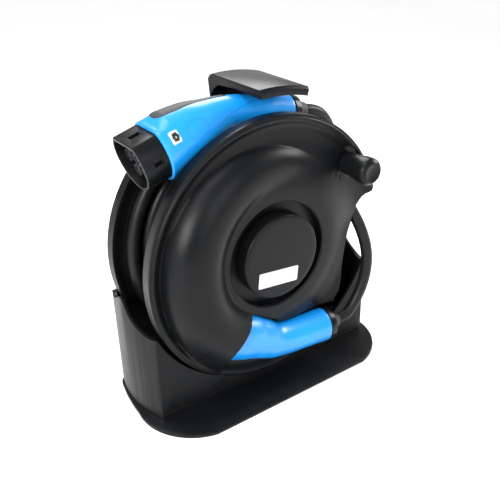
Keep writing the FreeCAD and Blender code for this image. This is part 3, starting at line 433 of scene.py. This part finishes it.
flangeSet = {
    "holster": [  # angle, middle radius, half width, crest
        (40, 92.0, 10.0, -36.5), (60, 92.0, 17.0, -43.0), (78, 92.5, 22.0, -49.5),
        (100, 94.0, 27.0, -55.0), (125, 96.0, 31.0, -60.0), (155, 97.5, 33.5, -65.0),
        (185, 98.5, 35.0, -69.5), (210, 101.5, 37.0, -73.0), (222, 104.0, 40.0, -74.5),
        (232, 106.0, 41.5, -75.5), (252, 108.0, 42.0, -76.0)],
    "mouth": [(60, 239), (70, 238), (76, 235.5), (82, 233.5), (90, 231), (98, 229.5), (107, 228.5),
              (115, 229.5), (124, 231.5), (131, 234), (137, 236.5), (143, 238.5), (148, 238.5)],
    "firstAngle": 40,  # where the holster starts, and the last angle of its table
    "lastAngle": 252,
    "mouthAngle": 240,
    "fade": (250, 140),  # turn over which the borders run back to the holster's start
    "steepen": (185, 45),  # turn over which the outer side gets steeper
    "sidePower": (2.2, 0.75),  # shape of the holster's section, and its change by the mouth
    "sideRound": (0.62, 0.30),
    "foot": -36.0,
    "hubRows": [16.0, 40.0, 59.6, 60.0, 60.5, 61.2, 62.2, 63.5],
    "hubEdge": 64.5,
    "hubClear": 61,
    "innerRange": (66, 130),
    "leastWidth": 4,
    "outerMost": 136.5,
    "rimEdge": 137.5,
    "rimRows": [138.5, 139.5, 140.5, 141.5, 142.5, 143.5, 144.2, 144.7,
                145.1, 145.5, 146.0, 146.5, 147.0, 147.4, 147.8, 148.0],
    "sideCount": 9,
    "overCount": 38,
    "skirt": (-42.2, -31.0),
    "columns": 540,
    "inside": 26,  # columns of floor carried on into the mouth
    "insideSweep": 30.0,
    "troughBlend": 1.2,
    "domeBlend": 1.6,
    "seatBlend": 1.5,
    "weld": 0.06,
    "wall": 2.6,
    "passRadius": 112.0,  # the floor outside this is open where the face lies behind passFace
    "passRim": 147.5,
    "passFace": -36.6,
    "seat": (100.5, 77.7, 17.0, -39.0),  # crank's seat: x, height over the axis, radius, face
    "window": [(178, 64), (146, 41), (133, 30.5), (127, 25.5), (121, 19), (114, 4), (108, -6),
               (104.5, -16), (102.5, -28), (102, -40), (102, -76), (99.5, -86), (94, -93),
               (92, -99), (93, -107), (98, -114), (106, -119), (178, -162)],
}
dish = {
    "hub": (60.0, -40.0),  # radius and face of the recess
    "floor": (-51.5, 70.0, 56.0, 13.5),  # face, then where it rises, over what width and how far
    "lip": (1.6, 1.1),  # width and drop of the rounded edge at the recess
    "valley": (126.0, -38.0),
    "bead": (134.0, 10.0, 6.5),
    "roll": (144.2, 3.8, -44.5, 1.6),  # radius, width, face and drop at the rim
    "groove": (145.5, 0.4, 0.5),  # radius, width and depth
}
grip = {
    # distance behind the nose face, height of the middle, half width, half height, heading
    "rows": [(26.0, 0.0, 32.5, 32.5, 0), (31.0, 0.0, 32.2, 32.2, 0), (45.0, -0.6, 30.5, 31.0, 0),
             (70.0, -2.4, 27.5, 29.0, -1), (90.0, -3.4, 22.5, 23.5, -4),
             (107.0, -3.8, 18.2, 18.2, -12), (126.0, -10.2, 16.6, 16.8, -24),
             (155.0, -24.4, 16.2, 16.2, -27), (180.0, -37.2, 16.4, 16.4, -27)],
    "flat": 26.5,
    "flatFade": (44, 12),  # where the flat top ends, and over what length
    "flatBlend": 3.0,
    "neck": (75, 30),  # where the extra width starts, and over what length
    "frontStations": [26.0, 26.25, 26.9, 28.0],
    "stations": (29.5, 178.5, 76),
    "backStations": [179.3, 179.8, 180.0],
    "frontTuck": 27.2,
    "backTuck": (178.9, 0.9),
    "bore": (29.8, 26.0, 31.3, 22.9),  # radius, front, bottom and height of its flat
    "supplyExtra": 5.4,
    "supplySize": 0.9,
    "steps": 96,
    "seamDepth": 0.45,
}
vehicleAt = (Matrix.Translation((-133.0, 0, axisHeight + 118.1))
             @ Matrix.Rotation(math.radians(-17), 4, "Y"))
supplyAt = (Matrix.Translation((-90.5, -40.0, axisHeight - 62.6))
            @ Matrix.Rotation(math.radians(-3.4), 4, "Z")
            @ Matrix.Rotation(math.radians(30), 4, "Y")
            @ Matrix.Rotation(math.radians(180), 4, "X") @ Matrix.Scale(grip["supplySize"], 4))


def smoothTable(rows, position):
    # the table's values at a position, on a smooth curve through its rows
    xs = [row[0] for row in rows]
    position = min(max(position, xs[0]), xs[-1])
    i = max(0, min(len(rows) - 2, int(np.searchsorted(xs, position, "right")) - 1))
    span = xs[i + 1] - xs[i]
    t = (position - xs[i]) / span
    made = []
    for k in range(1, len(rows[0])):
        v0, v1 = rows[i][k], rows[i + 1][k]
        before = (v1 - rows[i - 1][k]) / (xs[i + 1] - xs[i - 1]) * span if i > 0 else v1 - v0
        after = v1 - v0
        if i + 2 < len(rows):
            after = (rows[i + 2][k] - v0) / (xs[i + 2] - xs[i]) * span
        made.append((2 * t ** 3 - 3 * t ** 2 + 1) * v0 + (t ** 3 - 2 * t ** 2 + t) * before
                    + (-2 * t ** 3 + 3 * t ** 2) * v1 + (t ** 3 - t ** 2) * after)
    return made


def neckShare(x):
    start, length = grip["neck"]
    return min(1.0, max(0.0, (x - start) / length))


def gripSpot(x, turn, lift=0.0, extra=0.0):
    # a point on the grip's skin: x along it, turn round it with 90 degrees at its top
    z, across, upright, heading = smoothTable(grip["rows"], x)
    swell = extra * neckShare(x) + lift
    a = math.radians(turn)
    side, height = (across + swell) * math.cos(a), (upright + swell) * math.sin(a)
    end, fade = grip["flatFade"]
    blend = grip["flatBlend"]
    flatness = min(1.0, max(0.0, (end - x) / fade))
    if flatness > 0 and height > grip["flat"] - 2 * blend:
        top = grip["flat"] + lift
        squeezed = top - blend * math.log(1 + math.exp((top - height) / blend))
        height = height * (1 - flatness) + squeezed * flatness
    h = math.radians(heading)
    return Vector((x - math.sin(h) * height, side, z + math.cos(h) * height))


def smoothStep(value):
    value = np.clip(value, 0.0, 1.0)
    return value * value * (3 - 2 * value)


def dishFace(radius):
    # the plain flange without its holster: distance along the axis at a radius
    hub, hubFace = dish["hub"]
    floorFace, rise, riseWidth, riseHeight = dish["floor"]
    lipWidth, lipDrop = dish["lip"]
    valley, valleyFace = dish["valley"]
    beadStart, beadWidth, beadHeight = dish["bead"]
    roll, rollWidth, rollFace, rollDrop = dish["roll"]
    groove, grooveWidth, grooveDepth = dish["groove"]
    slope = floorFace + riseHeight * smoothStep((radius - rise) / riseWidth)
    lip = floorFace + lipDrop * (1 - smoothStep((radius - hub) / lipWidth))
    bead = valleyFace - beadHeight * smoothStep((radius - beadStart) / beadWidth)
    rolled = rollFace + rollDrop * smoothStep((radius - roll) / rollWidth)
    face = np.where(radius < hub, hubFace, slope)
    face = np.where((radius >= hub) & (radius < hub + lipWidth), lip, face)
    face = np.where(radius > valley, bead, face)
    face = np.where(radius > roll, rolled, face)
    return face + grooveDepth * np.exp(-((radius - groove) / grooveWidth) ** 2)


def troughFace(x, above):
    # the hollow under the stored connector
    deep = np.full(x.shape, -1000.0)
    spots = []
    for position in np.linspace(10, 200, 39):
        held = min(position, 180.0)
        z, across, upright, heading = smoothTable(grip["rows"], held)
        ahead = Vector((math.cos(math.radians(heading)), 0, math.sin(math.radians(heading))))
        centre = Vector((held, 0, z)) + ahead * (position - held)
        swell = grip["supplyExtra"] * neckShare(held)
        spots.append((supplyAt @ centre, (across + swell) * grip["supplySize"]))
    for spot, radius in spots:
        distance = np.hypot(x - spot.x, above + axisHeight - spot.z)
        reach = radius + 2.2
        depth = spot.y + reach * np.sqrt(np.clip(1 - (distance / reach) ** 2, 0, 1))
        deep = np.maximum(deep, np.where(distance < reach, depth, -1000.0))
    return deep


def softLower(a, b, k):
    return -k * np.logaddexp(-a / k, -b / k)


def makeFlange():
    columns, inside = flangeSet["columns"], flangeSet["inside"]
    shares = np.concatenate([-np.linspace(1, 1 / inside, inside) * flangeSet["insideSweep"] / 360,
                             np.linspace(0, 1, columns)])
    start, mouthAngle = flangeSet["firstAngle"], flangeSet["mouthAngle"]
    angles = range(start, flangeSet["lastAngle"] + 1)
    table = np.array([smoothTable(flangeSet["holster"], t) for t in angles])
    # the rows of points follow both borders of the holster
    nominal = mouthAngle + 360 * shares
    turn = np.clip(nominal - 360, start, mouthAngle)
    fadeStart, fadeTurn = flangeSet["fade"]
    fade = smoothStep((nominal - fadeStart) / fadeTurn)
    early = nominal < 360 + start
    borders = []
    for sign in (-1, 1):
        border = table[:, 0] + sign * table[:, 1]
        late = np.interp(turn, angles, border)
        back = border[mouthAngle - start] * (1 - fade) + border[0] * fade
        borders.append(np.where(early, back, late))
    inner = np.clip(borders[0], *flangeSet["innerRange"])
    outer = np.clip(borders[1], inner + flangeSet["leastWidth"], flangeSet["outerMost"])
    hubEdge, rimEdge = flangeSet["hubEdge"], flangeSet["rimEdge"]
    sides = np.linspace(0, 1, flangeSet["sideCount"])
    fixed = np.repeat(np.array(flangeSet["hubRows"])[:, None], len(shares), 1)
    toInner = hubEdge + (inner - hubEdge)[None, :] * sides[:-1, None]
    wave = (1 - np.cos(np.linspace(0, math.pi, flangeSet["overCount"]))) / 2
    spread = 0.5 * wave + 0.5 * np.linspace(0, 1, flangeSet["overCount"])
    over = inner[None, :] + (outer - inner)[None, :] * spread[:, None]
    toRim = outer[None, :] + (rimEdge - outer)[None, :] * sides[1:, None]
    rim = np.repeat(np.array(flangeSet["rimRows"])[:, None], len(shares), 1)
    r = np.concatenate([fixed, toInner, over, toRim, rim])
    mouth = np.interp(r, [m[0] for m in flangeSet["mouth"]], [m[1] for m in flangeSet["mouth"]])
    angle = mouth + 360.0 * shares[None, :]
    x, above = r * np.cos(np.radians(angle)), r * np.sin(np.radians(angle))
    plain = dishFace(r)
    turn = np.where((angle > 359 + start) & (shares[None, :] > 0.3), angle - 360, -1.0)
    middle, half, crest = [np.interp(turn, angles, table[:, k]) for k in range(3)]
    offset = (r - middle) / half
    steepStart, steepTurn = flangeSet["steepen"]
    late = smoothStep((turn - steepStart) / steepTurn)
    fullPower, lessPower = flangeSet["sidePower"]
    power = np.where(offset > 0, fullPower - lessPower * late, fullPower)
    leastRound, moreRound = flangeSet["sideRound"]
    roundness = np.where(offset > 0, leastRound + moreRound * late, leastRound)
    across = np.clip(1 - np.abs(offset) ** power, 0, 1)
    dome = flangeSet["foot"] + (crest - flangeSet["foot"]) * across ** roundness
    dome = np.where((turn > 0) & (r > flangeSet["hubClear"]), dome, 1000.0)
    trough = troughFace(x, above)
    hollow = np.maximum(-softLower(-plain, -trough, flangeSet["troughBlend"]), plain)
    low = np.where(trough > -900, hollow, plain)
    face = np.where(dome < 900, softLower(plain, dome, flangeSet["domeBlend"]), low)
    face = np.where((shares[None, :] > 0.9) & (across <= 0.02), low, face)
    seatX, seatZ, seatRadius, seatFace = flangeSet["seat"]
    away = np.hypot(x - seatX, above - seatZ)
    seatBlend = flangeSet["seatBlend"]
    blend = smoothStep((away - seatRadius) / seatBlend)
    face = np.where(away < seatRadius + seatBlend, seatFace * (1 - blend) + face * blend, face)
    points = []
    index = {}
    skirt = flangeSet["skirt"]
    count = len(r)
    for i in range(count):
        for j in range(angle.shape[1]):
            index[i, j] = len(points)
            points.append((x[i, j], face[i, j], axisHeight + above[i, j]))
    for s, along in enumerate(skirt):
        for j in range(angle.shape[1]):
            index[count + s, j] = len(points)
            depth = max(along, face[-1, j] + 0.8 * (s + 1))
            points.append((x[-1, j], depth, axisHeight + above[-1, j]))
    faces = []
    innermost = flangeSet["innerRange"][0]
    for i in range(count + len(skirt) - 1):
        for j in range(angle.shape[1] - 1):
            outside = i >= count - 1 or across[i, -1] <= 0.0 or r[i, -1] < innermost
            if j < inside and outside:
                continue
            faces.append((index[i, j], index[i, j + 1], index[i + 1, j + 1], index[i + 1, j]))
    mesh = bpy.data.meshes.new("frontFlange")
    mesh.from_pydata([tuple(Vector(p) * mm) for p in points], [], faces)
    shell = bmesh.new()
    shell.from_mesh(mesh)
    bmesh.ops.remove_doubles(shell, verts=shell.verts, dist=flangeSet["weld"] * mm)
    window = flangeSet["window"]
    for one, two in zip(window, window[1:]):
        along = Vector((two[0] - one[0], 0, two[1] - one[1]))
        normal = along.cross(Vector((0, 1, 0))).normalized()
        near = [f for f in shell.faces if f.calc_center_median().x > 0.06]
        edges = list({e for f in near for e in f.edges})
        geometry = near + edges + list({v for f in near for v in f.verts})
        bmesh.ops.bisect_plane(shell, geom=geometry, plane_no=normal,
                               plane_co=Vector((one[0], 0, axisHeight + one[1])) * mm)
    cut = [f for f in shell.faces if insidePolygon(f.calc_center_median(), window)]
    # open at the back, where the turning flange passes the stored connector
    for one in shell.faces:
        centre = one.calc_center_median()
        reach = math.hypot(centre.x, centre.z - axisHeight * mm) / mm
        ringed = flangeSet["passRadius"] < reach < flangeSet["passRim"]
        if ringed and centre.y / mm > flangeSet["passFace"]:
            cut.append(one)
    bmesh.ops.delete(shell, geom=list(set(cut)), context="FACES")
    bmesh.ops.delete(shell, geom=[v for v in shell.verts if not v.link_faces], context="VERTS")
    shell.normal_update()
    front = sum(f.normal.y * f.calc_area() for f in shell.faces)
    if front > 0:
        bmesh.ops.reverse_faces(shell, faces=shell.faces)
    shell.to_mesh(mesh)
    shell.free()
    piece = dress("frontFlange", mesh, "mouldedAbs", 48.0)
    wall = piece.modifiers.new("wall", "SOLIDIFY")
    wall.thickness = flangeSet["wall"] * mm
    wall.offset = -1
    return settle(piece, "drum", "black_plastic", "front_flange")


def insidePolygon(centre, polygon):
    x, z = centre.x / mm, centre.z / mm - axisHeight
    inside = False
    for (x1, z1), (x2, z2) in zip(polygon, polygon[1:] + polygon[:1]):
        if (z1 > z) != (z2 > z) and x < (x2 - x1) * (z - z1) / (z2 - z1) + x1:
            inside = not inside
    return inside


makeFlange()
print("flange made")


# grips: smooth lofted shells with a parting line, a soft strip and a blank sticker

def makeGrip(name, at, extra, body, replaced):
    steps = grip["steps"]
    stations = grip["frontStations"] + list(np.linspace(*grip["stations"])) + grip["backStations"]
    backTuck, backDepth = grip["backTuck"]
    seamEnd = 178
    points, faces, rings = [], [], []
    for x in stations:
        tuck = max(0.0, grip["frontTuck"] - x) ** 1.6 + max(0.0, x - backTuck) ** 2 * backDepth
        ring = []
        for k in range(steps):
            turn = 360.0 * k / steps
            onSeam = k in (steps // 4, 3 * steps // 4) and x < seamEnd
            seam = grip["seamDepth"] if onSeam else 0.0
            ring.append(len(points))
            points.append(at @ gripSpot(x, turn, -tuck - seam, extra))
        rings.append(ring)
    bore, boreFront, boreBottom, boreFlat = grip["bore"]
    for x in (boreFront, boreBottom):
        ring = []
        for k in range(steps):
            a = 2 * math.pi * k / steps
            height = min(bore * math.sin(a), boreFlat)
            ring.append(len(points))
            points.append(at @ Vector((x, bore * math.cos(a), height)))
        rings.insert(0, ring)
    for one, two in zip(rings, rings[1:]):
        for k in range(steps):
            faces.append((one[k], one[(k + 1) % steps], two[(k + 1) % steps], two[k]))
    faces.append(tuple(rings[0]))
    faces.append(tuple(reversed(rings[-1])))
    piece = newPiece(name, points, faces, "bluePolyamide", 40.0)
    fixNormals(piece.data)
    return settle(piece, body, "blue_grip", *replaced)


def gripPatch(name, at, extra, outline, lift, thick, finish, body, slot, *replaced, cells=24):
    # a thin pad on the grip's skin: outline gives the first and last turn at each share of it
    points, faces = [], []
    start, end, edges = outline
    across = 10
    for layer in (lift, lift - thick):
        for i in range(cells + 1):
            share = i / cells
            x = start + (end - start) * share
            first, last = edges(share)
            for k in range(across + 1):
                edge = layer
                if layer == lift and (k in (0, across) or i in (0, cells)):
                    edge = lift - 0.5 * thick
                points.append(at @ gripSpot(x, first + (last - first) * k / across, edge, extra))
    row = across + 1
    top = (cells + 1) * row
    for i in range(cells):
        for k in range(across):
            a = i * row + k
            faces.append((a, a + 1, a + row + 1, a + row))
            faces.append((top + a, top + a + row, top + a + row + 1, top + a + 1))
    rim = [k for k in range(row)] + [i * row + across for i in range(1, cells + 1)]
    rim += [cells * row + k for k in range(across - 1, -1, -1)] + [i * row
                                                                   for i in range(cells - 1, 0,
                                                                                  -1)]
    for a, b in zip(rim, rim[1:] + rim[:1]):
        faces.append((b, a, top + a, top + b))
    piece = newPiece(name, points, faces, finish, 50.0)
    fixNormals(piece.data)
    return settle(piece, body, slot, *replaced)


strip = {"turn": 84, "width": 26.0, "taper": 0.75, "shoulder": 0.35, "lean": 0.85, "margin": 0.4}


def stripEdges(share):
    # rounded at the collar, drawn out to a long point over the neck
    width = strip["width"] * math.sqrt(max(0.0, 1 - (1 - min(share * 9, 1.0)) ** 2))
    width *= (1 - strip["taper"] * max(0.0, share - strip["shoulder"]) / (1 - strip["shoulder"]))
    margin = strip["margin"]
    return strip["turn"] - width - margin, strip["turn"] + width * strip["lean"] + margin


for prefix, at, extra, body in (("vehicle", vehicleAt, 0.0, "reel_frame"),
                                ("supply", supplyAt, grip["supplyExtra"], "drum")):
    makeGrip(prefix + "Grip", at, extra, body, [prefix + "_grip_left", prefix + "_grip_right"])
    gripPatch(prefix + "Strip", at, extra, (37.0, 112.0, stripEdges), 0.6, 1.4, "softElastomer",
              body, "grey_elastomer", prefix + "_grip_inlay", cells=60)
gripPatch("stickerBase", vehicleAt, 0.0, (35.0, 45.0, lambda share: (139.5, 163.5)), 0.18, 0.6,
          "laminatedLabel", "reel_frame", "label_film")


def gripMark(name, at, extra, path, width, lift, thick, finish, body, slot):
    # a fine raised line on the grip's skin, closed when its last point is its first
    closed = path[0] == path[-1]
    spots = path[:-1] if closed else path
    points, faces = [], []
    count = len(spots)
    for i, (x, turn) in enumerate(spots):
        before = spots[i - 1] if i > 0 or closed else spots[i]
        after = spots[(i + 1) % count] if i + 1 < count or closed else spots[i]
        here = gripSpot(x, turn, lift, extra)
        along = gripSpot(after[0], after[1], lift, extra) - gripSpot(before[0], before[1], lift,
                                                                     extra)
        out = gripSpot(x, turn, lift + 1.0, extra) - here
        side = along.cross(out).normalized() * width / 2
        drop = out.normalized() * thick
        points += [at @ (here + side), at @ (here - side), at @ (here - side * 1.4 - drop),
                   at @ (here + side * 1.4 - drop)]
    for i in range(count if closed else count - 1):
        a, b = i * 4, (i + 1) % count * 4
        faces += [(a + k, a + (k + 1) % 4, b + (k + 1) % 4, b + k) for k in range(4)]
    if not closed:
        faces += [(0, 3, 2, 1), tuple(range(count * 4 - 4, count * 4))]
    piece = newPiece(name, points, faces, finish, 30.0)
    fixNormals(piece.data)
    return settle(piece, body, slot)


def ovalPath(x, turn, length, height, count=48):
    path = [(x + length / 2 * math.cos(2 * math.pi * i / count),
             turn + height / 2 * math.sin(2 * math.pi * i / count)) for i in range(count)]
    return path + [path[0]]


def curvePath(corners, count=60):
    places = np.linspace(0, 1, len(corners))
    rows = [(place,) + corner for place, corner in zip(places, corners)]
    return [tuple(smoothTable(rows, i / (count - 1))) for i in range(count)]


hexagon = [(40.0 + 2.3 * math.cos(math.radians(a)), 151.5 + 5.0 * math.sin(math.radians(a)))
           for a in range(0, 361, 60)]
hexagon[-1] = hexagon[0]
gripMark("stickerHexagon", vehicleAt, 0.0, hexagon, 3.4, 0.32, 0.3, "printedInk", "reel_frame",
         "label_film")
# the oval and swoosh lines are drawn in a darker blue, as painted shade of their moulded lines
gripMark("vehicleOval", vehicleAt, 0.0, ovalPath(65.0, 156.0, 24.0, 34.0), 0.5, 0.08, 0.6,
         "bluePaintedShade", "reel_frame", "blue_grip")
gripMark("supplyOval", supplyAt, grip["supplyExtra"], ovalPath(96.0, 120.0, 17.0, 26.0), 0.5, 0.08,
         0.6, "bluePaintedShade", "drum", "blue_grip")
swoosh = curvePath([(86.0, 176.0), (98.0, 168.0), (111.0, 159.0), (125.0, 143.0), (139.0, 126.0),
                    (152.0, 121.0)])
gripMark("vehicleSwoosh", vehicleAt, 0.0, swoosh, 0.6, 0.08, 0.6, "bluePaintedShade", "reel_frame",
         "blue_grip")
print("grips made")


# hub cap, knob and other turned pieces

capProfile = rounded([(0, -58.5), (42.0, -58.4), (47.2, -57.6), (47.2, -41.0), (46.0, -40.2),
                      (0, -40.2)], 3.2, 6)
settle(turnedPiece("hubCapTurned", capProfile, (0, axisHeight), "mouldedAbs", 144), "drum",
       "black_plastic", "hub_cap")
labelTilt = math.radians(-6)
labelWide, labelHigh, labelRound = 25.6, 8.8, 1.6  # half sizes and corner


def labelSheet(name, wide, high, corner, front, back, middle, finish, slot, *replaced):
    outline = []
    for sx, sz, start in ((1, 1, 0), (-1, 1, 90), (-1, -1, 180), (1, -1, 270)):
        for k in range(7):
            a = math.radians(start + 15 * k)
            outline.append((sx * (wide - corner) + corner * math.cos(a), sz * (high - corner)
                            + corner * math.sin(a)))
    turned = [(u * math.cos(labelTilt) - v * math.sin(labelTilt) + middle[0],
               u * math.sin(labelTilt) + v * math.cos(labelTilt) + middle[1]) for u, v in outline]
    points = [(u, front, axisHeight + v) for u, v in turned] + [(u, back, axisHeight + v) for u,
                                                                v in turned]
    count = len(turned)
    faces = [tuple(range(count)), tuple(reversed(range(count, 2 * count)))]
    faces += [(i, i + count, (i + 1) % count + count, (i + 1) % count) for i in range(count)]
    piece = newPiece(name, points, faces, finish, 30.0)
    fixNormals(piece.data)
    return settle(piece, "drum", slot, *replaced)


labelSheet("labelSheet", labelWide, labelHigh, labelRound, -58.72, -58.3, (-5.5, -21.6),
           "laminatedLabel", "label_film", "hub_label")
crank = {"radius": 127.0, "turn": 37.7}
crankX = crank["radius"] * math.cos(math.radians(crank["turn"]))
crankZ = axisHeight + crank["radius"] * math.sin(math.radians(crank["turn"]))
knobProfile = rounded([(0, -81.2), (5.0, -81.6), (9.4, -82.8), (11.0, -83.0), (15.0, -79.0),
                       (15.0, -70.0), (13.2, -60.0), (12.4, -52.0), (12.2, -42.4), (11.4, -41.0),
                       (5.06, -41.0), (5.06, -76.0), (0, -76.0)], 3.6, 7)
settle(turnedPiece("knobTurned", knobProfile, (crankX, crankZ), "mouldedAbs", 96), "crank_knob",
       "black_plastic", "crank_knob", "knob_cap")

for nodeName, width, finish in (("stand_shell", 0.9, "mouldedAbs"),
                                ("carry_handle", 1.2, "mouldedAbs"),
                                ("back_plate", 0.6, "mouldedAbs"),
                                ("vehicle_nose", 1.0, "mouldedAbs"),
                                ("supply_nose", 0.9, "mouldedAbs"),
                                ("vehicle_gland_nut", 0.5, "smoothAbs"),
                                ("supply_gland_nut", 0.5, "smoothAbs"),
                                ("vehicle_strain_relief", 0.5, None),
                                ("supply_strain_relief", 0.5, None),
                                ("vehicle_contact_block", 0.3, None),
                                ("supply_contact_block", 0.3, None)):
    bevelled(nodeName, width, finish)
print("bevelled pieces made")


# drum screws: a ring of pan heads laid by a node tree

screwSet = {"count": 4, "circle": 34.0, "start": 45.0, "head": 4.0, "rise": 2.4, "shank": 1.9,
            "length": 22.0, "seat": -40.2, "socket": 1.7, "socketDepth": 1.6}


def ringTree(finish):
    tree = bpy.data.node_groups.new("ringOfParts", "GeometryNodeTree")
    sockets = {}
    tree.interface.new_socket("Geometry", in_out="INPUT", socket_type="NodeSocketGeometry")
    for label, kind, value in (("Count", "NodeSocketInt", 4), ("Circle", "NodeSocketFloat", 0.03),
                               ("Start", "NodeSocketFloat", 0.0),
                               ("Part", "NodeSocketObject", None)):
        socket = tree.interface.new_socket(label, in_out="INPUT", socket_type=kind)
        if value is not None:
            socket.default_value = value
        sockets[label] = socket.identifier
    tree.interface.new_socket("Geometry", in_out="OUTPUT", socket_type="NodeSocketGeometry")
    given = addNode(tree, "NodeGroupInput").outputs
    ring = addNode(tree, "GeometryNodeMeshCircle", links={"Vertices": given["Count"],
                                                          "Radius": given["Circle"]})
    part = addNode(tree, "GeometryNodeObjectInfo", links={"Object": given["Part"]})
    laid = addNode(tree, "GeometryNodeInstanceOnPoints",
                   links={"Points": ring.outputs[0], "Instance": part.outputs["Geometry"]})
    spin = addNode(tree, "ShaderNodeCombineXYZ", {"X": math.pi / 2}, {"Y": given["Start"]})
    stand = addNode(tree, "GeometryNodeTransform", links={"Geometry": laid.outputs[0],
                                                          "Rotation": spin.outputs[0]})
    lift = addNode(tree, "GeometryNodeTransform", {"Translation": (0, 0, axisHeight * mm)},
                   {"Geometry": stand.outputs[0]})
    real = addNode(tree, "GeometryNodeRealizeInstances", links={"Geometry": lift.outputs[0]})
    dressed = addNode(tree, "GeometryNodeSetMaterial", {"Material": finishes[finish]},
                      {"Geometry": real.outputs[0]})
    addNode(tree, "NodeGroupOutput", links={0: dressed.outputs[0]})
    return tree, sockets


def makeDrumScrews():
    # the template points along -Y once the ring is stood up, so it is turned about Z here
    front, socket = screwSet["seat"] - screwSet["rise"], screwSet["socket"]
    bottom = front + screwSet["socketDepth"]
    profile = rounded([(0, bottom), (socket, bottom), (socket, front),
                       (screwSet["head"], front + 0.2), (screwSet["head"], screwSet["seat"]),
                       (screwSet["shank"], screwSet["seat"]),
                       (screwSet["shank"], screwSet["seat"] + screwSet["length"]),
                       (0, screwSet["seat"] + screwSet["length"] + 1.0)], 0.35, 3)
    template = turnedPiece("screwTemplate", profile, (0, 0), "zincSteel", 40)
    template.data.transform(Matrix.Rotation(-math.pi / 2, 4, "X"))
    tree, sockets = ringTree("zincSteel")
    holder = newPiece("screwHolder", [(0, 0, 0)], [], "zincSteel")
    laying = holder.modifiers.new("ring", "NODES")
    laying.node_group = tree
    laying[sockets["Count"]] = screwSet["count"]
    laying[sockets["Circle"]] = screwSet["circle"] * mm
    laying[sockets["Start"]] = math.radians(screwSet["start"])
    laying[sockets["Part"]] = template
    seen = holder.evaluated_get(bpy.context.evaluated_depsgraph_get())
    mesh = bpy.data.meshes.new_from_object(seen)
    holder.modifiers.remove(laying)
    bpy.data.objects.remove(holder)
    bpy.data.objects.remove(template)
    settle(dress("drumScrewsTurned", mesh, "zincSteel"), "drum", "steel", "drum_screws")


makeDrumScrews()


# a fine rounded bead where the stand's front wall meets its lip

beadSet = {"y": -34.4, "z": 11.6, "half": 142.0, "radius": 0.9, "steps": 12}


def makeWallBead():
    steps = beadSet["steps"]
    points, faces = [], []
    for end in (-1, 1):
        for k in range(steps):
            a = 2 * math.pi * k / steps
            points.append((end * beadSet["half"], beadSet["y"] + beadSet["radius"] * math.cos(a),
                           beadSet["z"] + beadSet["radius"] * math.sin(a)))
    for k in range(steps):
        faces.append((k, (k + 1) % steps, (k + 1) % steps + steps, k + steps))
    faces += [tuple(range(steps)), tuple(reversed(range(steps, 2 * steps)))]
    piece = newPiece("wallBead", points, faces, "smoothAbs")
    fixNormals(piece.data)
    settle(piece, "stand", "black_plastic")


makeWallBead()
print("screws and bead made")
